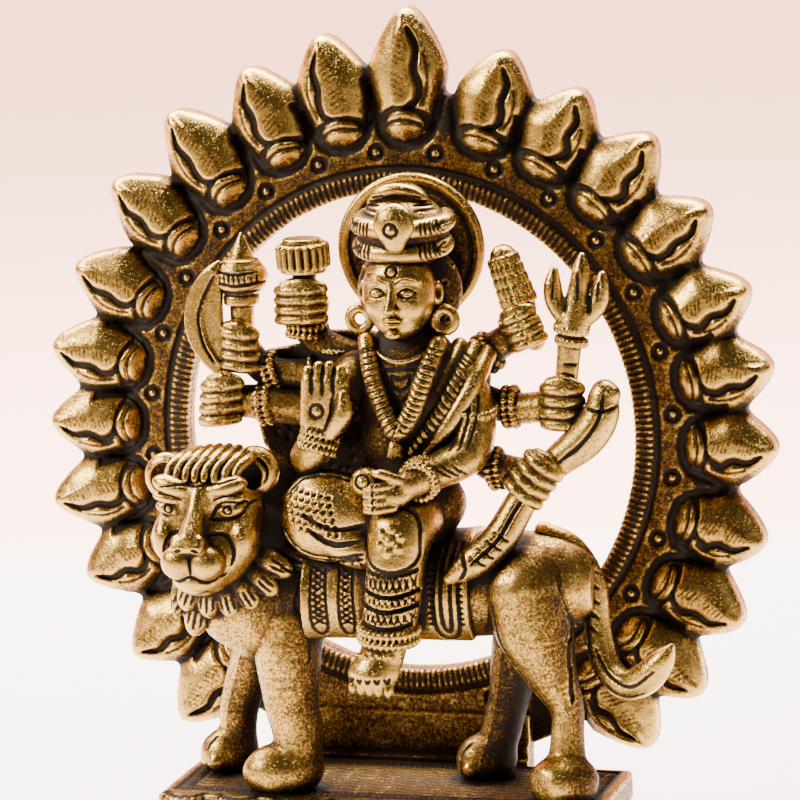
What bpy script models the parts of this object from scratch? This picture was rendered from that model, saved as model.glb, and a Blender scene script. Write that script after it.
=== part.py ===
"""Cast brass statuette: an eight-armed goddess seated on a standing lion, on a
hollow pedestal, inside an aureole of pointed petals.

Every size below is in millimetres, in a working frame with +Z up and the front
towards -Y. The finished pieces are moved by FRAME_SHIFT, which puts the origin
at the bottom centre of the whole box. The castings are split where the wax
pieces are joined, and neighbours keep a gap of GAP.
"""
import math

import bmesh
import bpy
from mathutils import Euler, Matrix, Vector

MM = 0.001
GAP = 0.3

# Pedestal: a hollow box, open below, with a flat rear wall.
SLAB_WIDTH, SLAB_DEPTH, SLAB_HEIGHT = 82.0, 30.0, 5.5
BASE_TOP = 16.0
PLINTH_WIDTH, PLINTH_DEPTH, PLINTH_HEIGHT = 84.0, 31.0, 4.5
WAIST_WIDTH, WAIST_DEPTH = 79.0, 27.5
HOLLOW_WIDTH, HOLLOW_DEPTH = 74.0, 22.4
TOP_PLATE = 3.0
REAR_WALL = 3.0
BASE_REAR = SLAB_DEPTH / 2
SCALLOPS = 8
SCALLOP_RADIUS = 4.6
SCALLOP_PROUD = 1.2

# Fasteners.
SHANK_RADIUS = 1.5
SCREW_HEAD_RADIUS = 2.8
SCREW_HEAD_HEIGHT = 2.2
SCREW_IN_PAW = 5.2
AUREOLE_SCREW_X = 14.0
AUREOLE_SCREW_Z = 7.5

# Aureole: an oval ring standing behind the pedestal.
RING_CENTRE = (-0.4, 77.7)
OPENING_X, OPENING_Z = 42.4, 44.6
BAND_WIDTH = 17.0
BAND_FRONT = BASE_REAR + 1.3
RING_FRONT = BASE_REAR + GAP
RING_REAR = BASE_REAR + 6.3
ROPE_RADIUS = 1.8
PETALS_EACH_SIDE = 11
PETAL_PITCH = math.radians(12.93)
PETAL_TURN = math.radians(1.2)
PETAL_START = 9.4
PETAL_LENGTH = 18.2
CREST_PETAL_EXTRA = 5.9
TAB_HALF_WIDTH = 21.0
TAB_BOTTOM = 1.5

# Where the figure stands and sits.
PAW_BOTTOM = BASE_TOP + GAP
PAW_SPOTS = {
    "near_front": (-18.0, -7.2),
    "far_front": (-32.3, 4.0),
    "near_hind": (33.2, -7.0),
    "far_hind": (15.8, 6.4),
}

# Front and rear faces, across Y, of the web between the arms on the statue's right.
WEB_FRONT, WEB_REAR = 4.3, 6.5

# Puts the origin at the bottom centre of the whole box.
FRAME_SHIFT = (0.4, -0.1, 0.0)

BRASS = (0.60, 0.42, 0.17, 1.0)
DARK_BRASS = (0.34, 0.23, 0.10, 1.0)
STEEL = (0.45, 0.44, 0.42, 1.0)

# Faces that meet at less than this angle are merged.
FLAT_ANGLE = math.radians(0.6)
# A neighbour's clearance is widened by these factors until the cut is clean.
ROOM_FACTORS = (1.0, 1.2, 1.4, 0.9, 1.6)

parts = []


def clear_scene():
    for obj in list(bpy.data.objects):
        bpy.data.objects.remove(obj)


def new_collection(name):
    collection = bpy.data.collections.new(name)
    bpy.context.scene.collection.children.link(collection)
    return collection


# ---------------------------------------------------------------- shape helpers

def shape(bm):
    """A scratch object from a bmesh in millimetres."""
    bmesh.ops.recalc_face_normals(bm, faces=bm.faces)
    bmesh.ops.scale(bm, vec=(MM, MM, MM), verts=bm.verts)
    mesh = bpy.data.meshes.new("shape")
    bm.to_mesh(mesh)
    bm.free()
    obj = bpy.data.objects.new("shape", mesh)
    parts_collection.objects.link(obj)
    return obj


def place(bm, size, at, tilt):
    """Scale, turn (degrees) and move a unit shape."""
    turn = Euler([math.radians(angle) for angle in tilt]).to_matrix().to_4x4()
    matrix = Matrix.Translation(at) @ turn @ Matrix.Diagonal((*size, 1.0))
    bmesh.ops.transform(bm, matrix=matrix, verts=bm.verts)


def ball(radii, at, tilt=(0, 0, 0), segments=10, rings=6):
    bm = bmesh.new()
    bmesh.ops.create_uvsphere(bm, u_segments=segments, v_segments=rings, radius=1.0)
    place(bm, radii, at, tilt)
    return shape(bm)


def block(low, high):
    bm = bmesh.new()
    bmesh.ops.create_cube(bm, size=1.0)
    size = [high[i] - low[i] for i in range(3)]
    centre = [(high[i] + low[i]) / 2 for i in range(3)]
    place(bm, size, centre, (0, 0, 0))
    return shape(bm)


def rod(start, end, radius, end_radius=None, sides=12):
    """A cylinder or a cone between two points."""
    start = Vector(start)
    axis = Vector(end) - start
    bm = bmesh.new()
    bmesh.ops.create_cone(
        bm, cap_ends=True, segments=sides, radius1=radius,
        radius2=radius if end_radius is None else end_radius, depth=axis.length)
    turn = axis.to_track_quat("Z", "Y").to_matrix().to_4x4()
    matrix = Matrix.Translation(start + axis / 2) @ turn
    bmesh.ops.transform(bm, matrix=matrix, verts=bm.verts)
    return shape(bm)


def smooth_path(stations, steps):
    """Points on a smooth curve through stations of (x, y, z, radius)."""
    rows = [Vector(station) for station in stations]
    rows = [rows[0] * 2 - rows[1]] + rows + [rows[-1] * 2 - rows[-2]]
    points = []
    for before, here, there, after in zip(rows, rows[1:], rows[2:], rows[3:]):
        for step in range(steps):
            t = step / steps
            points.append(0.5 * (
                here * 2 + (there - before) * t
                + (before * 2 - here * 5 + there * 4 - after) * t * t
                + (here * 3 - before - there * 3 + after) * t * t * t))
    return points + [rows[-2]]


def curve_to_shape(curve):
    """Turn a bevelled curve into a closed mesh with its caps welded."""
    obj = bpy.data.objects.new("curve", curve)
    parts_collection.objects.link(obj)
    graph = bpy.context.evaluated_depsgraph_get()
    mesh = bpy.data.meshes.new_from_object(obj.evaluated_get(graph))
    bm = bmesh.new()
    bm.from_mesh(mesh)
    bmesh.ops.remove_doubles(bm, verts=bm.verts, dist=1e-6)
    bmesh.ops.recalc_face_normals(bm, faces=bm.faces)
    bm.to_mesh(mesh)
    bm.free()
    solid = bpy.data.objects.new("shape", mesh)
    solid.matrix_world = obj.matrix_world
    parts_collection.objects.link(solid)
    bpy.data.objects.remove(obj)
    return solid


def limb(stations, steps=2, roundness=2, flatten=1.0, closed=False):
    """A tapering tube through stations of (x, y, z, radius)."""
    points = list(stations) if closed else smooth_path(stations, steps)
    middle = sum(point[1] for point in points) / len(points)
    curve = bpy.data.curves.new("limb", "CURVE")
    curve.dimensions = "3D"
    curve.bevel_depth = MM
    curve.bevel_resolution = roundness
    curve.use_fill_caps = True
    spline = curve.splines.new("POLY")
    spline.points.add(len(points) - 1)
    for target, (x, y, z, radius) in zip(spline.points, points):
        target.co = (x * MM, y * MM, z * MM, 1.0)
        target.radius = max(radius, 0.3)
    spline.use_cyclic_u = closed
    solid = curve_to_shape(curve)
    for vertex in solid.data.vertices:
        vertex.co.y = middle * MM + (vertex.co.y - middle * MM) * flatten
    return solid


def outline_plate(outline, front, rear):
    """A flat plate across Y from an outline of (x, z) points."""
    curve = bpy.data.curves.new("outline", "CURVE")
    curve.dimensions = "2D"
    curve.fill_mode = "BOTH"
    curve.extrude = (rear - front) / 2 * MM
    spline = curve.splines.new("POLY")
    spline.points.add(len(outline) - 1)
    for target, (x, z) in zip(spline.points, outline):
        target.co = (x * MM, z * MM, 0.0, 1.0)
    spline.use_cyclic_u = True
    solid = curve_to_shape(curve)
    stand = Matrix.Rotation(math.radians(90), 4, "X")
    solid.data.transform(Matrix.Translation((0, (front + rear) / 2 * MM, 0)) @ stand)
    return solid


def combine(target, other, operation, crossing=False):
    """Apply one exact Boolean and remove the other object.

    crossing is for a shape whose surface may pass through itself.
    """
    modifier = target.modifiers.new(operation, "BOOLEAN")
    modifier.operation = operation
    modifier.solver = "EXACT"
    modifier.use_self = crossing
    modifier.object = other
    graph = bpy.context.evaluated_depsgraph_get()
    mesh = bpy.data.meshes.new_from_object(target.evaluated_get(graph))
    target.modifiers.clear()
    target.data = mesh
    bpy.data.objects.remove(other)
    return target


def union(first, *others):
    for other in others:
        combine(first, other, "UNION")
    return first


def cut(first, *others):
    for other in others:
        combine(first, other, "DIFFERENCE")
    return first


def grown(obj, gap):
    """A copy of a piece with its surface moved outwards by a gap."""
    bm = bmesh.new()
    bm.from_mesh(obj.data)
    bmesh.ops.remove_doubles(bm, verts=bm.verts, dist=1e-6)
    bm.normal_update()
    moves = [v.normal * gap * MM * min(v.calc_shell_factor(), 1.8) for v in bm.verts]
    for vertex, move in zip(bm.verts, moves):
        vertex.co += move
    mesh = bpy.data.meshes.new("grown")
    bm.to_mesh(mesh)
    bm.free()
    copy = bpy.data.objects.new("grown", mesh)
    parts_collection.objects.link(copy)
    return copy


def extents(obj):
    points = [vertex.co for vertex in obj.data.vertices]
    low = [min(p[i] for p in points) for i in range(3)]
    high = [max(p[i] for p in points) for i in range(3)]
    return low, high


def near(first, second):
    low_a, high_a = extents(first)
    low_b, high_b = extents(second)
    reach = 2 * GAP * MM
    return all(low_a[i] < high_b[i] + reach and low_b[i] < high_a[i] + reach for i in range(3))


def body_of(vertex):
    """Every vertex joined to this one by edges."""
    found = {vertex}
    stack = [vertex]
    while stack:
        for edge in stack.pop().link_edges:
            for other in edge.verts:
                if other not in found:
                    found.add(other)
                    stack.append(other)
    return found


def tidy(obj):
    """Weld stray corners, merge flat faces and keep the largest connected body."""
    bm = bmesh.new()
    bm.from_mesh(obj.data)
    bmesh.ops.remove_doubles(bm, verts=bm.verts, dist=0.0004 * MM)
    bmesh.ops.dissolve_degenerate(bm, edges=bm.edges, dist=0.0004 * MM)
    bmesh.ops.dissolve_limit(bm, angle_limit=FLAT_ANGLE, verts=bm.verts, edges=bm.edges)
    bmesh.ops.triangulate(bm, faces=bm.faces)
    left = set(bm.verts)
    bodies = []
    while left:
        bodies.append(body_of(next(iter(left))))
        left -= bodies[-1]
    bodies.sort(key=len)
    for scrap in bodies[:-1]:
        bmesh.ops.delete(bm, geom=list(scrap), context="VERTS")
    loose = [edge for edge in bm.edges if not edge.link_faces]
    bmesh.ops.delete(bm, geom=loose, context="EDGES")
    bm.to_mesh(obj.data)
    bm.free()


def is_sound(mesh):
    """True where the mesh is not empty and every edge has two faces."""
    bm = bmesh.new()
    bm.from_mesh(mesh)
    sound = len(bm.faces) > 0 and all(len(edge.link_faces) == 2 for edge in bm.edges)
    bm.free()
    return sound


def clear_of(obj, other):
    """Cut a piece back from its neighbour, with a little more room where needed."""
    kept = obj.data
    for crossing in (False, True):
        for room in ROOM_FACTORS:
            obj.data = kept.copy()
            combine(obj, grown(other, GAP * room), "DIFFERENCE", crossing)
            tidy(obj)
            if is_sound(obj.data):
                return
    raise RuntimeError("no clean cut at " + other.name)


def material(name, colour, roughness):
    made = bpy.data.materials.new(name)
    made.use_nodes = True
    shader = made.node_tree.nodes["Principled BSDF"]
    shader.inputs["Base Color"].default_value = colour
    shader.inputs["Metallic"].default_value = 1.0
    shader.inputs["Roughness"].default_value = roughness
    return made


def finish(name, obj, colour=BRASS, roughness=0.35):
    """Cut a piece clear of the finished ones that it meets, then name and keep it."""
    for other in parts:
        if near(obj, other):
            clear_of(obj, other)
    tidy(obj)
    obj.name = name
    obj.data.name = name
    obj.data.materials.clear()
    obj.data.materials.append(material(name + "_finish", colour, roughness))
    obj.data.shade_smooth()
    obj.data.set_sharp_from_angle(angle=math.radians(40))
    parts.append(obj)
    return obj


# ------------------------------------------------------------------- fasteners

def screw(head, tip, at_head):
    """A pan-head screw with a slot; at_head is the far side of the head."""
    shank = rod(head, tip, SHANK_RADIUS)
    cap = rod(at_head, head, SCREW_HEAD_RADIUS, sides=14)
    solid = union(cap, shank)
    axis = (Vector(head) - Vector(at_head)).normalized()
    along = Vector((1, 0, 0))
    side = axis.cross(along)
    half = along * 4 + side * 0.4 + axis * 0.8
    corners = [Vector(at_head) - half, Vector(at_head) + half]
    low = [min(c[i] for c in corners) for i in range(3)]
    high = [max(c[i] for c in corners) for i in range(3)]
    return cut(solid, block(low, high))


def make_fasteners():
    head_top = BASE_TOP - TOP_PLATE - GAP
    for spot, (x, y) in PAW_SPOTS.items():
        solid = screw((x, y, head_top), (x, y, PAW_BOTTOM + SCREW_IN_PAW),
                      (x, y, head_top - SCREW_HEAD_HEIGHT))
        finish("paw_screw_" + spot, solid, STEEL, 0.4)
    for side, x in (("left", -AUREOLE_SCREW_X), ("right", AUREOLE_SCREW_X)):
        head = RING_REAR + GAP
        solid = screw((x, head, AUREOLE_SCREW_Z), (x, BASE_REAR - REAR_WALL - 1.5, AUREOLE_SCREW_Z),
                      (x, head + SCREW_HEAD_HEIGHT, AUREOLE_SCREW_Z))
        finish("aureole_screw_" + side, solid, STEEL, 0.4)
    finish("seat_pin", rod((3.0, -0.5, 52.0), (3.0, -0.5, 72.0), 2.0), DARK_BRASS, 0.5)


# -------------------------------------------------------------------- pedestal

def make_pedestal():
    slab = block((-SLAB_WIDTH / 2, -BASE_REAR, BASE_TOP - SLAB_HEIGHT),
                 (SLAB_WIDTH / 2, BASE_REAR, BASE_TOP))
    pitch = SLAB_WIDTH / SCALLOPS
    for index in range(SCALLOPS):
        x = -SLAB_WIDTH / 2 + pitch * (index + 0.5)
        y = -BASE_REAR + SCALLOP_RADIUS - SCALLOP_PROUD
        union(slab, rod((x, y, BASE_TOP - SLAB_HEIGHT), (x, y, BASE_TOP), SCALLOP_RADIUS, sides=16))
    waist = block((-WAIST_WIDTH / 2, BASE_REAR - WAIST_DEPTH, PLINTH_HEIGHT / 2),
                  (WAIST_WIDTH / 2, BASE_REAR, BASE_TOP - SLAB_HEIGHT / 2))
    plinth = block((-PLINTH_WIDTH / 2, BASE_REAR - PLINTH_DEPTH, 0),
                   (PLINTH_WIDTH / 2, BASE_REAR, PLINTH_HEIGHT))
    hollow_rear = BASE_REAR - REAR_WALL
    hollow = block((-HOLLOW_WIDTH / 2, hollow_rear - HOLLOW_DEPTH, -5),
                   (HOLLOW_WIDTH / 2, hollow_rear, BASE_TOP - TOP_PLATE))
    finish("pedestal", cut(union(slab, waist, plinth), hollow), DARK_BRASS)


# --------------------------------------------------------------------- aureole

def on_ring(angle, outwards):
    """A point of the oval, measured clockwise from its top; outwards from the opening."""
    x = RING_CENTRE[0] + (OPENING_X + outwards) * math.sin(angle)
    z = RING_CENTRE[1] + (OPENING_Z + outwards) * math.cos(angle)
    return x, z


def ring_outline(outwards, count):
    return [on_ring(2 * math.pi * step / count, outwards) for step in range(count)]


def petal(angle, length):
    """A pointed petal: two full outlines and a smaller raised one in front."""
    half = [(3.0, 0.2), (5.2, 3.0), (6.2, 6.8), (6.1, 9.6), (4.2, 0.74 * length)]
    outline = half + [(0.0, length)] + [(-u, v) for u, v in reversed(half)]
    foot = Vector(on_ring(angle, PETAL_START))
    tip = Vector(on_ring(angle, PETAL_START + length))
    out = (tip - foot).normalized()
    across = Vector((out.y, -out.x))
    layers = ((RING_REAR, 1.0, 1.0), (BAND_FRONT + 0.8, 1.0, 1.0), (RING_FRONT + 0.1, 0.5, 0.82))
    bm = bmesh.new()
    loops = []
    for depth, narrow, short in layers:
        loop = []
        for u, v in outline:
            spot = foot + across * u * narrow + out * (v * short + (1 - short) * 0.3 * length)
            loop.append(bm.verts.new((spot.x, depth, spot.y)))
        loops.append(loop)
    count = len(outline)
    bm.faces.new(loops[0])
    bm.faces.new(reversed(loops[-1]))
    for lower, upper in zip(loops, loops[1:]):
        for index in range(count):
            after = (index + 1) % count
            bm.faces.new((lower[index], upper[index], upper[after], lower[after]))
    return shape(bm)


def make_aureole():
    rope_depth = RING_FRONT + ROPE_RADIUS
    rope = [(x, rope_depth, z, ROPE_RADIUS) for x, z in ring_outline(ROPE_RADIUS + 0.1, 48)]
    finish("aureole_rope_rim", limb(rope, closed=True, roundness=1))
    band = outline_plate(ring_outline(BAND_WIDTH, 64), BAND_FRONT, RING_REAR)
    cut(band, outline_plate(ring_outline(0, 64), BAND_FRONT - 3, RING_REAR + 3))
    for number in range(-PETALS_EACH_SIDE, PETALS_EACH_SIDE + 1):
        length = PETAL_LENGTH + (CREST_PETAL_EXTRA if number == 0 else 0)
        union(band, petal(number * PETAL_PITCH + PETAL_TURN, length))
    tab_top = on_ring(math.pi, BAND_WIDTH / 2)[1]
    union(band, block((-TAB_HALF_WIDTH, RING_FRONT, TAB_BOTTOM), (TAB_HALF_WIDTH, RING_REAR, tab_top)))
    finish("aureole_band", band)


# ------------------------------------------------------------------------ lion

LION_SPINE = (
    (-28, -4.5, 48, 6.5), (-22, -2.5, 50.5, 9.6), (-12, -0.5, 52, 9.5), (3, 0, 52.3, 9.4),
    (15, 0, 52.8, 9.2), (24, 0, 54, 9.4), (31, 0, 54, 8.2), (36, 0, 53.5, 4.0))


def lion_barrel(extra):
    spine = [(x, y, z, radius + extra) for x, y, z, radius in LION_SPINE]
    return limb(spine, flatten=0.88, roundness=3)


def paw(at, radii, tilt=(0, 0, 0)):
    return ball(radii, (*at, PAW_BOTTOM + radii[2] * 0.78), tilt)


def leg(name, stations, paw_at, paw_radii, tilt):
    solid = union(limb(stations), paw(paw_at, paw_radii, tilt))
    cut(solid, block((-60, -40, 0), (60, 40, PAW_BOTTOM)))
    finish(name, solid)


def make_lion():
    head = union(
        ball((9.0, 8.3, 11.5), (-29.8, -11.0, 66.0), segments=12, rings=8),
        ball((6.4, 6.0, 5.6), (-31.2, -17.6, 59.6)),
        ball((3.6, 2.2, 3.6), (-22.0, -8.6, 75.6)),
        ball((3.6, 2.2, 3.6), (-37.9, -10.0, 73.6)),
        ball((7.6, 5.8, 4.4), (-29.2, -10.5, 75.0)))
    finish("lion_head", head)
    body = union(lion_barrel(0), ball((9.4, 8.2, 9.6), (-23.0, -3.8, 48.2)))
    finish("lion_body", body)
    mane = union(
        ball((10.8, 8.6, 11.5), (-24.8, -6.2, 58.5), segments=12, rings=7),
        ball((10.6, 5.6, 5.0), (-24.6, -10.4, 51.6), (0, -14, 0)),
        ball((6.2, 4.6, 9.6), (-20.8, -1.4, 67.6)))
    finish("lion_mane", mane)
    leg("lion_foreleg_near",
        [(-18.2, -4.6, 47, 6.9), (-18.0, -6.0, 40, 6.0), (-17.4, -6.8, 32, 5.0), (-16.6, -7, 26, 4.5),
         (-16.8, -7.4, 20, 4.5)], (-18.4, -9.4), (7.4, 6.0, 4.9), (0, 0, 25))
    leg("lion_foreleg_far",
        [(-24.5, 2.6, 45, 5.6), (-28, 3.8, 36, 4.5), (-30.8, 4.2, 28, 3.7), (-31.6, 4.4, 20, 3.7)],
        (-32.8, 3.2), (5.6, 5.0, 4.3), (0, 0, 30))
    leg("lion_hindleg_near",
        [(26.6, -3.6, 53, 8.6), (28.2, -4.8, 46, 7.2), (31, -5.2, 39, 4.9), (34.2, -5.2, 32, 3.5),
         (34.0, -5.6, 26, 3.4), (33.6, -6.2, 20, 3.6)], (33.2, -8.0), (6.4, 5.8, 4.5), (0, 0, 20))
    leg("lion_hindleg_far",
        [(23.5, 5.6, 48, 5.4), (21.6, 6.0, 39, 4.8), (19.8, 6.4, 30, 3.8), (17.0, 6.8, 20, 3.7)],
        (15.6, 6.0), (5.8, 5.0, 4.3), (0, 0, 20))
    tail = limb([
        (28.5, 0.6, 63.4, 1.6), (33.8, 1.0, 60.4, 2.2), (37.4, 0.8, 54, 2.4), (38.2, 0.2, 46.5, 2.4),
        (39.6, -1.0, 40, 2.6), (43.6, -3.0, 36.4, 2.8), (48.0, -4.7, 38.2, 2.9),
        (51.2, -5.8, 42.2, 2.3), (52.8, -6.3, 45.4, 0.7)])
    finish("lion_tail", tail)
    cloth = lion_barrel(1.7)
    combine(cloth, block((-13.5, -30, 44.0), (17.0, 30, 90.0)), "INTERSECT")
    finish("saddle_cloth", cloth)


# ------------------------------------------------------------- goddess, seated

def arm_web():
    """The flat web of cast metal between the arms on the statue's right."""
    outline = [(3, 97), (-5, 98.6), (-12, 98.4), (-16.5, 96), (-23.6, 94.6), (-25.4, 90), (-25.8, 83),
               (-24.6, 77.4), (-21, 72.4), (-15, 69.4), (-6, 69), (3, 69)]
    return outline_plate(outline, WEB_FRONT, WEB_REAR)


def make_goddess_body():
    torso = union(
        limb([(4.2, -2, 66, 9.0), (4.6, -2.2, 72, 9.0), (5.0, -2.4, 78, 8.2), (5.4, -2.0, 85, 9.6),
              (5.4, -1.6, 91, 9.8), (5.2, -1.6, 95.2, 7.0), (5.0, -2.0, 98.4, 3.4),
              (4.8, -2.2, 102, 3.2)], flatten=0.66, roundness=3),
        ball((12.0, 7.6, 7.4), (3.4, -2.4, 68.5), segments=12, rings=7),
        ball((4.6, 4.2, 4.6), (-4.8, -0.8, 91.2)),
        ball((4.6, 4.2, 4.6), (15.4, -0.8, 91.2)),
        arm_web())
    finish("goddess_torso", torso)
    folded = union(
        ball((9.2, 6.2, 8.7), (-8.6, -8.8, 67.0), segments=12, rings=7),
        limb([(3, -5, 67, 6.4), (-5, -7.6, 67.6, 6.8), (-12, -8.6, 68, 5.0)]),
        ball((6.2, 3.4, 3.6), (-3.0, -12.0, 61.8), (0, 14, 0)))
    finish("folded_leg", folded)
    hanging = union(
        limb([(6.0, -5, 67.4, 6.6), (5.4, -10.2, 66.0, 6.2), (4.9, -12.6, 61, 5.5), (4.2, -13.2, 54, 5.2),
              (3.2, -13.4, 47.5, 4.8), (2.4, -13.6, 43.0, 4.5)], steps=2),
        ball((4.7, 4.0, 5.4), (0.9, -14.8, 41.0), (0, 14, 0)))
    finish("hanging_leg", hanging)


def make_goddess_head():
    head = ball((6.5, 6.0, 8.0), (4.5, -4.2, 107.0), segments=12, rings=8)
    finish("goddess_head", head)
    turban = union(
        ball((9.2, 7.6, 7.4), (4.9, -2.2, 117.0), segments=12, rings=7),
        limb([(-2.6, -4.5, 113.6, 2.1), (4.9, -8.2, 113.0, 2.1), (12.4, -4.5, 113.6, 2.1)]),
        ball((5.0, 4.8, 4.0), (4.6, -0.5, 122.6)))
    finish("turban_crown", turban)
    finish("crown_jewel", ball((3.3, 2.4, 3.3), (5.4, -9.6, 119.0)))
    disc = union(
        rod((3.8, 6.2, 113.2), (3.8, 7.8, 113.2), 12.6, sides=28),
        limb([(3.8 + 12.7 * math.sin(a), 6.9, 113.2 + 12.7 * math.cos(a), 0.95)
              for a in [2 * math.pi * i / 28 for i in range(28)]], closed=True, roundness=1))
    finish("halo_disc", disc, DARK_BRASS)
    for side, x in (("right", -4.0), ("left", 13.0)):
        loop = [(x + 1.9 * math.cos(a), -3.0, 101.8 + 2.1 * math.sin(a), 0.75)
                for a in [2 * math.pi * i / 12 for i in range(12)]]
        finish("earring_" + side, limb(loop, closed=True, roundness=1))


def make_dress():
    garland = limb([
        (-1.6, -5.2, 98.0, 1.5), (0.2, -8.0, 92.0, 1.5), (2.6, -9.4, 86.0, 1.5), (5.0, -10.0, 82.8, 1.6),
        (7.4, -9.4, 86.0, 1.5), (9.6, -8.0, 92.0, 1.5), (11.4, -5.2, 97.6, 1.5)])
    finish("garland", garland)
    finish("lotus_pendant", ball((2.2, 1.6, 2.2), (4.2, -8.9, 79.2)))
    sash = limb([(16.8, 0.4, 96.2, 2.4), (15.2, -4.6, 91.6, 3.2), (11.6, -7.0, 85.2, 3.4),
                 (7.0, -7.8, 79.0, 2.2)])
    finish("shoulder_sash", sash)


# ------------------------------------------- what the hands hold, then the arms

def arc(centre, radius, start, end, count):
    """Points of a circular arc in X and Z; angles in degrees from +X."""
    angles = [math.radians(start + (end - start) * step / (count - 1)) for step in range(count)]
    return [(centre[0] + radius * math.cos(a), centre[1] + radius * math.sin(a)) for a in angles]


def make_attributes():
    blade = arc((-22.4, 101.2), 13.6, 229, 128, 10)
    finish("sword", outline_plate(blade + [(-28.6, 111.0), (-29.2, 101.0), (-29.0, 92.5)], -1.3, 1.3))
    mace = union(
        limb([(-26.9, 2, 98, 2.2), (-26.9, 2, 103.6, 2.3), (-26.9, 2, 104.6, 3.0)]),
        ball((5.0, 4.4, 4.4), (-26.9, 2, 108.6)),
        rod((-26.9, 2, 111.5), (-26.6, 2, 116.6), 2.6, 0.4))
    finish("mace", mace)
    disc = union(
        rod((-15.3, 3.2, 109.6), (-15.5, 3.2, 114.6), 4.9, sides=20),
        limb([(-15.2, 3.2, 103.6, 2.0), (-15.3, 3.2, 106.6, 2.0), (-15.3, 3.2, 110.4, 2.4)]))
    finish("discus", disc)
    trident = union(
        limb([(33.2, 0, 88, 2.1), (34.2, 0, 97, 2.3), (35.0, 0, 101, 2.6)]),
        limb([(35.0, 0, 100, 2.4), (36.0, 0, 106, 2.3), (36.8, 0, 113.4, 0.6)]),
        limb([(34.6, 0, 99.6, 2.2), (31.4, 0, 104.0, 2.0), (31.6, 0, 110.6, 0.6)]),
        limb([(35.4, 0, 99.6, 2.2), (39.4, 0, 103.4, 2.0), (40.6, 0, 109.8, 0.6)]))
    finish("trident", trident)
    club = limb([(27.2, 3, 97.4, 2.1), (25.4, 3, 101.6, 2.3), (24.2, 3, 104.4, 3.4), (22.8, 3, 109.4, 3.5),
                 (21.8, 3, 112.6, 2.8)])
    finish("club", club)
    bow = limb([
        (41.2, -3, 90.2, 2.2), (40.2, -3, 85.2, 3.2), (37.5, -3, 80.9, 3.4), (33.1, -3, 77.4, 2.9),
        (28.6, -3.6, 73.5, 2.4), (25.4, -5.2, 68.6, 2.8), (22.5, -7.2, 63.3, 3.0),
        (18.0, -9.2, 59.3, 2.9), (13.6, -10.2, 56.4, 1.4)])
    finish("bow", bow)
    finish("fruit", ball((2.7, 2.7, 2.6), (0.2, -14.6, 74.6)))


def arm(name, stations, *hand):
    finish(name, union(limb(stations), *hand))


def make_arms():
    arm("arm_blessing",
        [(-4.6, -2.6, 91, 4.2), (-9.2, -5.0, 83, 3.8), (-12.4, -7.2, 77.4, 3.5), (-10.6, -9.4, 79.0, 3.2),
         (-9.0, -10.2, 82.6, 2.8), (-8.2, -10.6, 85.6, 2.6)],
        ball((4.4, 2.2, 5.2), (-7.7, -10.8, 86.6)),
        ball((3.6, 1.6, 4.2), (-7.4, -11.0, 91.6)))
    arm("arm_fruit",
        [(15.4, -2.0, 91, 4.0), (17.4, -3.6, 84, 4.0), (16.8, -6.0, 78.4, 3.8), (12.4, -10.4, 76.0, 3.4),
         (7.6, -13.4, 74.0, 2.9), (4.6, -14.6, 72.4, 2.6)],
        ball((4.6, 3.0, 3.0), (4.0, -14.6, 72.2)))
    arm("arm_sword",
        [(-4.0, 2.2, 86, 3.4), (-14.0, 1.8, 84.6, 3.3), (-22.6, 1, 85.6, 3.5), (-28.6, 0.4, 86.0, 3.0)],
        ball((4.3, 3.4, 4.4), (-30.2, 0, 86.4)))
    arm("arm_mace",
        [(-5.0, 3.2, 91, 3.2), (-15.0, 3.4, 90.4, 3.0), (-22.4, 2.8, 91.0, 2.9), (-26.2, 2.2, 94.4, 2.8)],
        ball((3.8, 3.6, 3.6), (-27.0, 2, 96.6)))
    arm("arm_discus",
        [(-4.2, 3.8, 93, 3.2), (-11.6, 4.2, 95.6, 3.0), (-15.2, 3.8, 99.0, 3.0), (-15.4, 3.4, 102, 2.8)],
        ball((4.8, 3.8, 4.0), (-15.4, 3.0, 103.4)))
    arm("arm_bow",
        [(13.0, 1.6, 82, 3.4), (16.6, 0.4, 77.6, 3.2), (20.4, -1.2, 75.0, 3.2), (26.6, -2.8, 74.0, 3.2)],
        ball((5.0, 4.2, 4.6), (28.2, -3.4, 73.6)))
    arm("arm_trident",
        [(14.6, 2.2, 88, 3.2), (19.6, 1.8, 86.0, 3.0), (25.0, 0.8, 85.4, 3.0), (31.0, 0.1, 86.2, 3.1)],
        ball((4.2, 3.7, 4.4), (33.2, 0, 86.6)))
    arm("arm_club",
        [(14.2, 3.4, 92.6, 3.0), (17.6, 3.6, 94.6, 3.0), (21.0, 3.2, 96.8, 3.0), (24.6, 3.1, 98.8, 3.0)],
        ball((4.4, 3.7, 3.6), (25.6, 3, 99.6)))


# ------------------------------------------------------------------------ build

clear_scene()
parts_collection = new_collection("goddess_on_lion_statue")
make_fasteners()
make_pedestal()
make_aureole()
make_lion()
make_goddess_body()
make_goddess_head()
make_dress()
make_attributes()
make_arms()
shift = Matrix.Translation(Vector(FRAME_SHIFT) * MM)
for part in parts:
    part.data.transform(shift)
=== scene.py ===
"""Looks of the brass goddess-on-lion statuette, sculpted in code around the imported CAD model.

Each piece is modelled as clay: a grid of signed distances in millimetres, measured from the
statue's own origin, to which shapes are added and from which lines are carved. The
surface is then drawn through the grid's zero level and placed back in the shared frame.
"""

import math

import bpy
import numpy as np
from mathutils import Matrix, Vector


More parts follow.
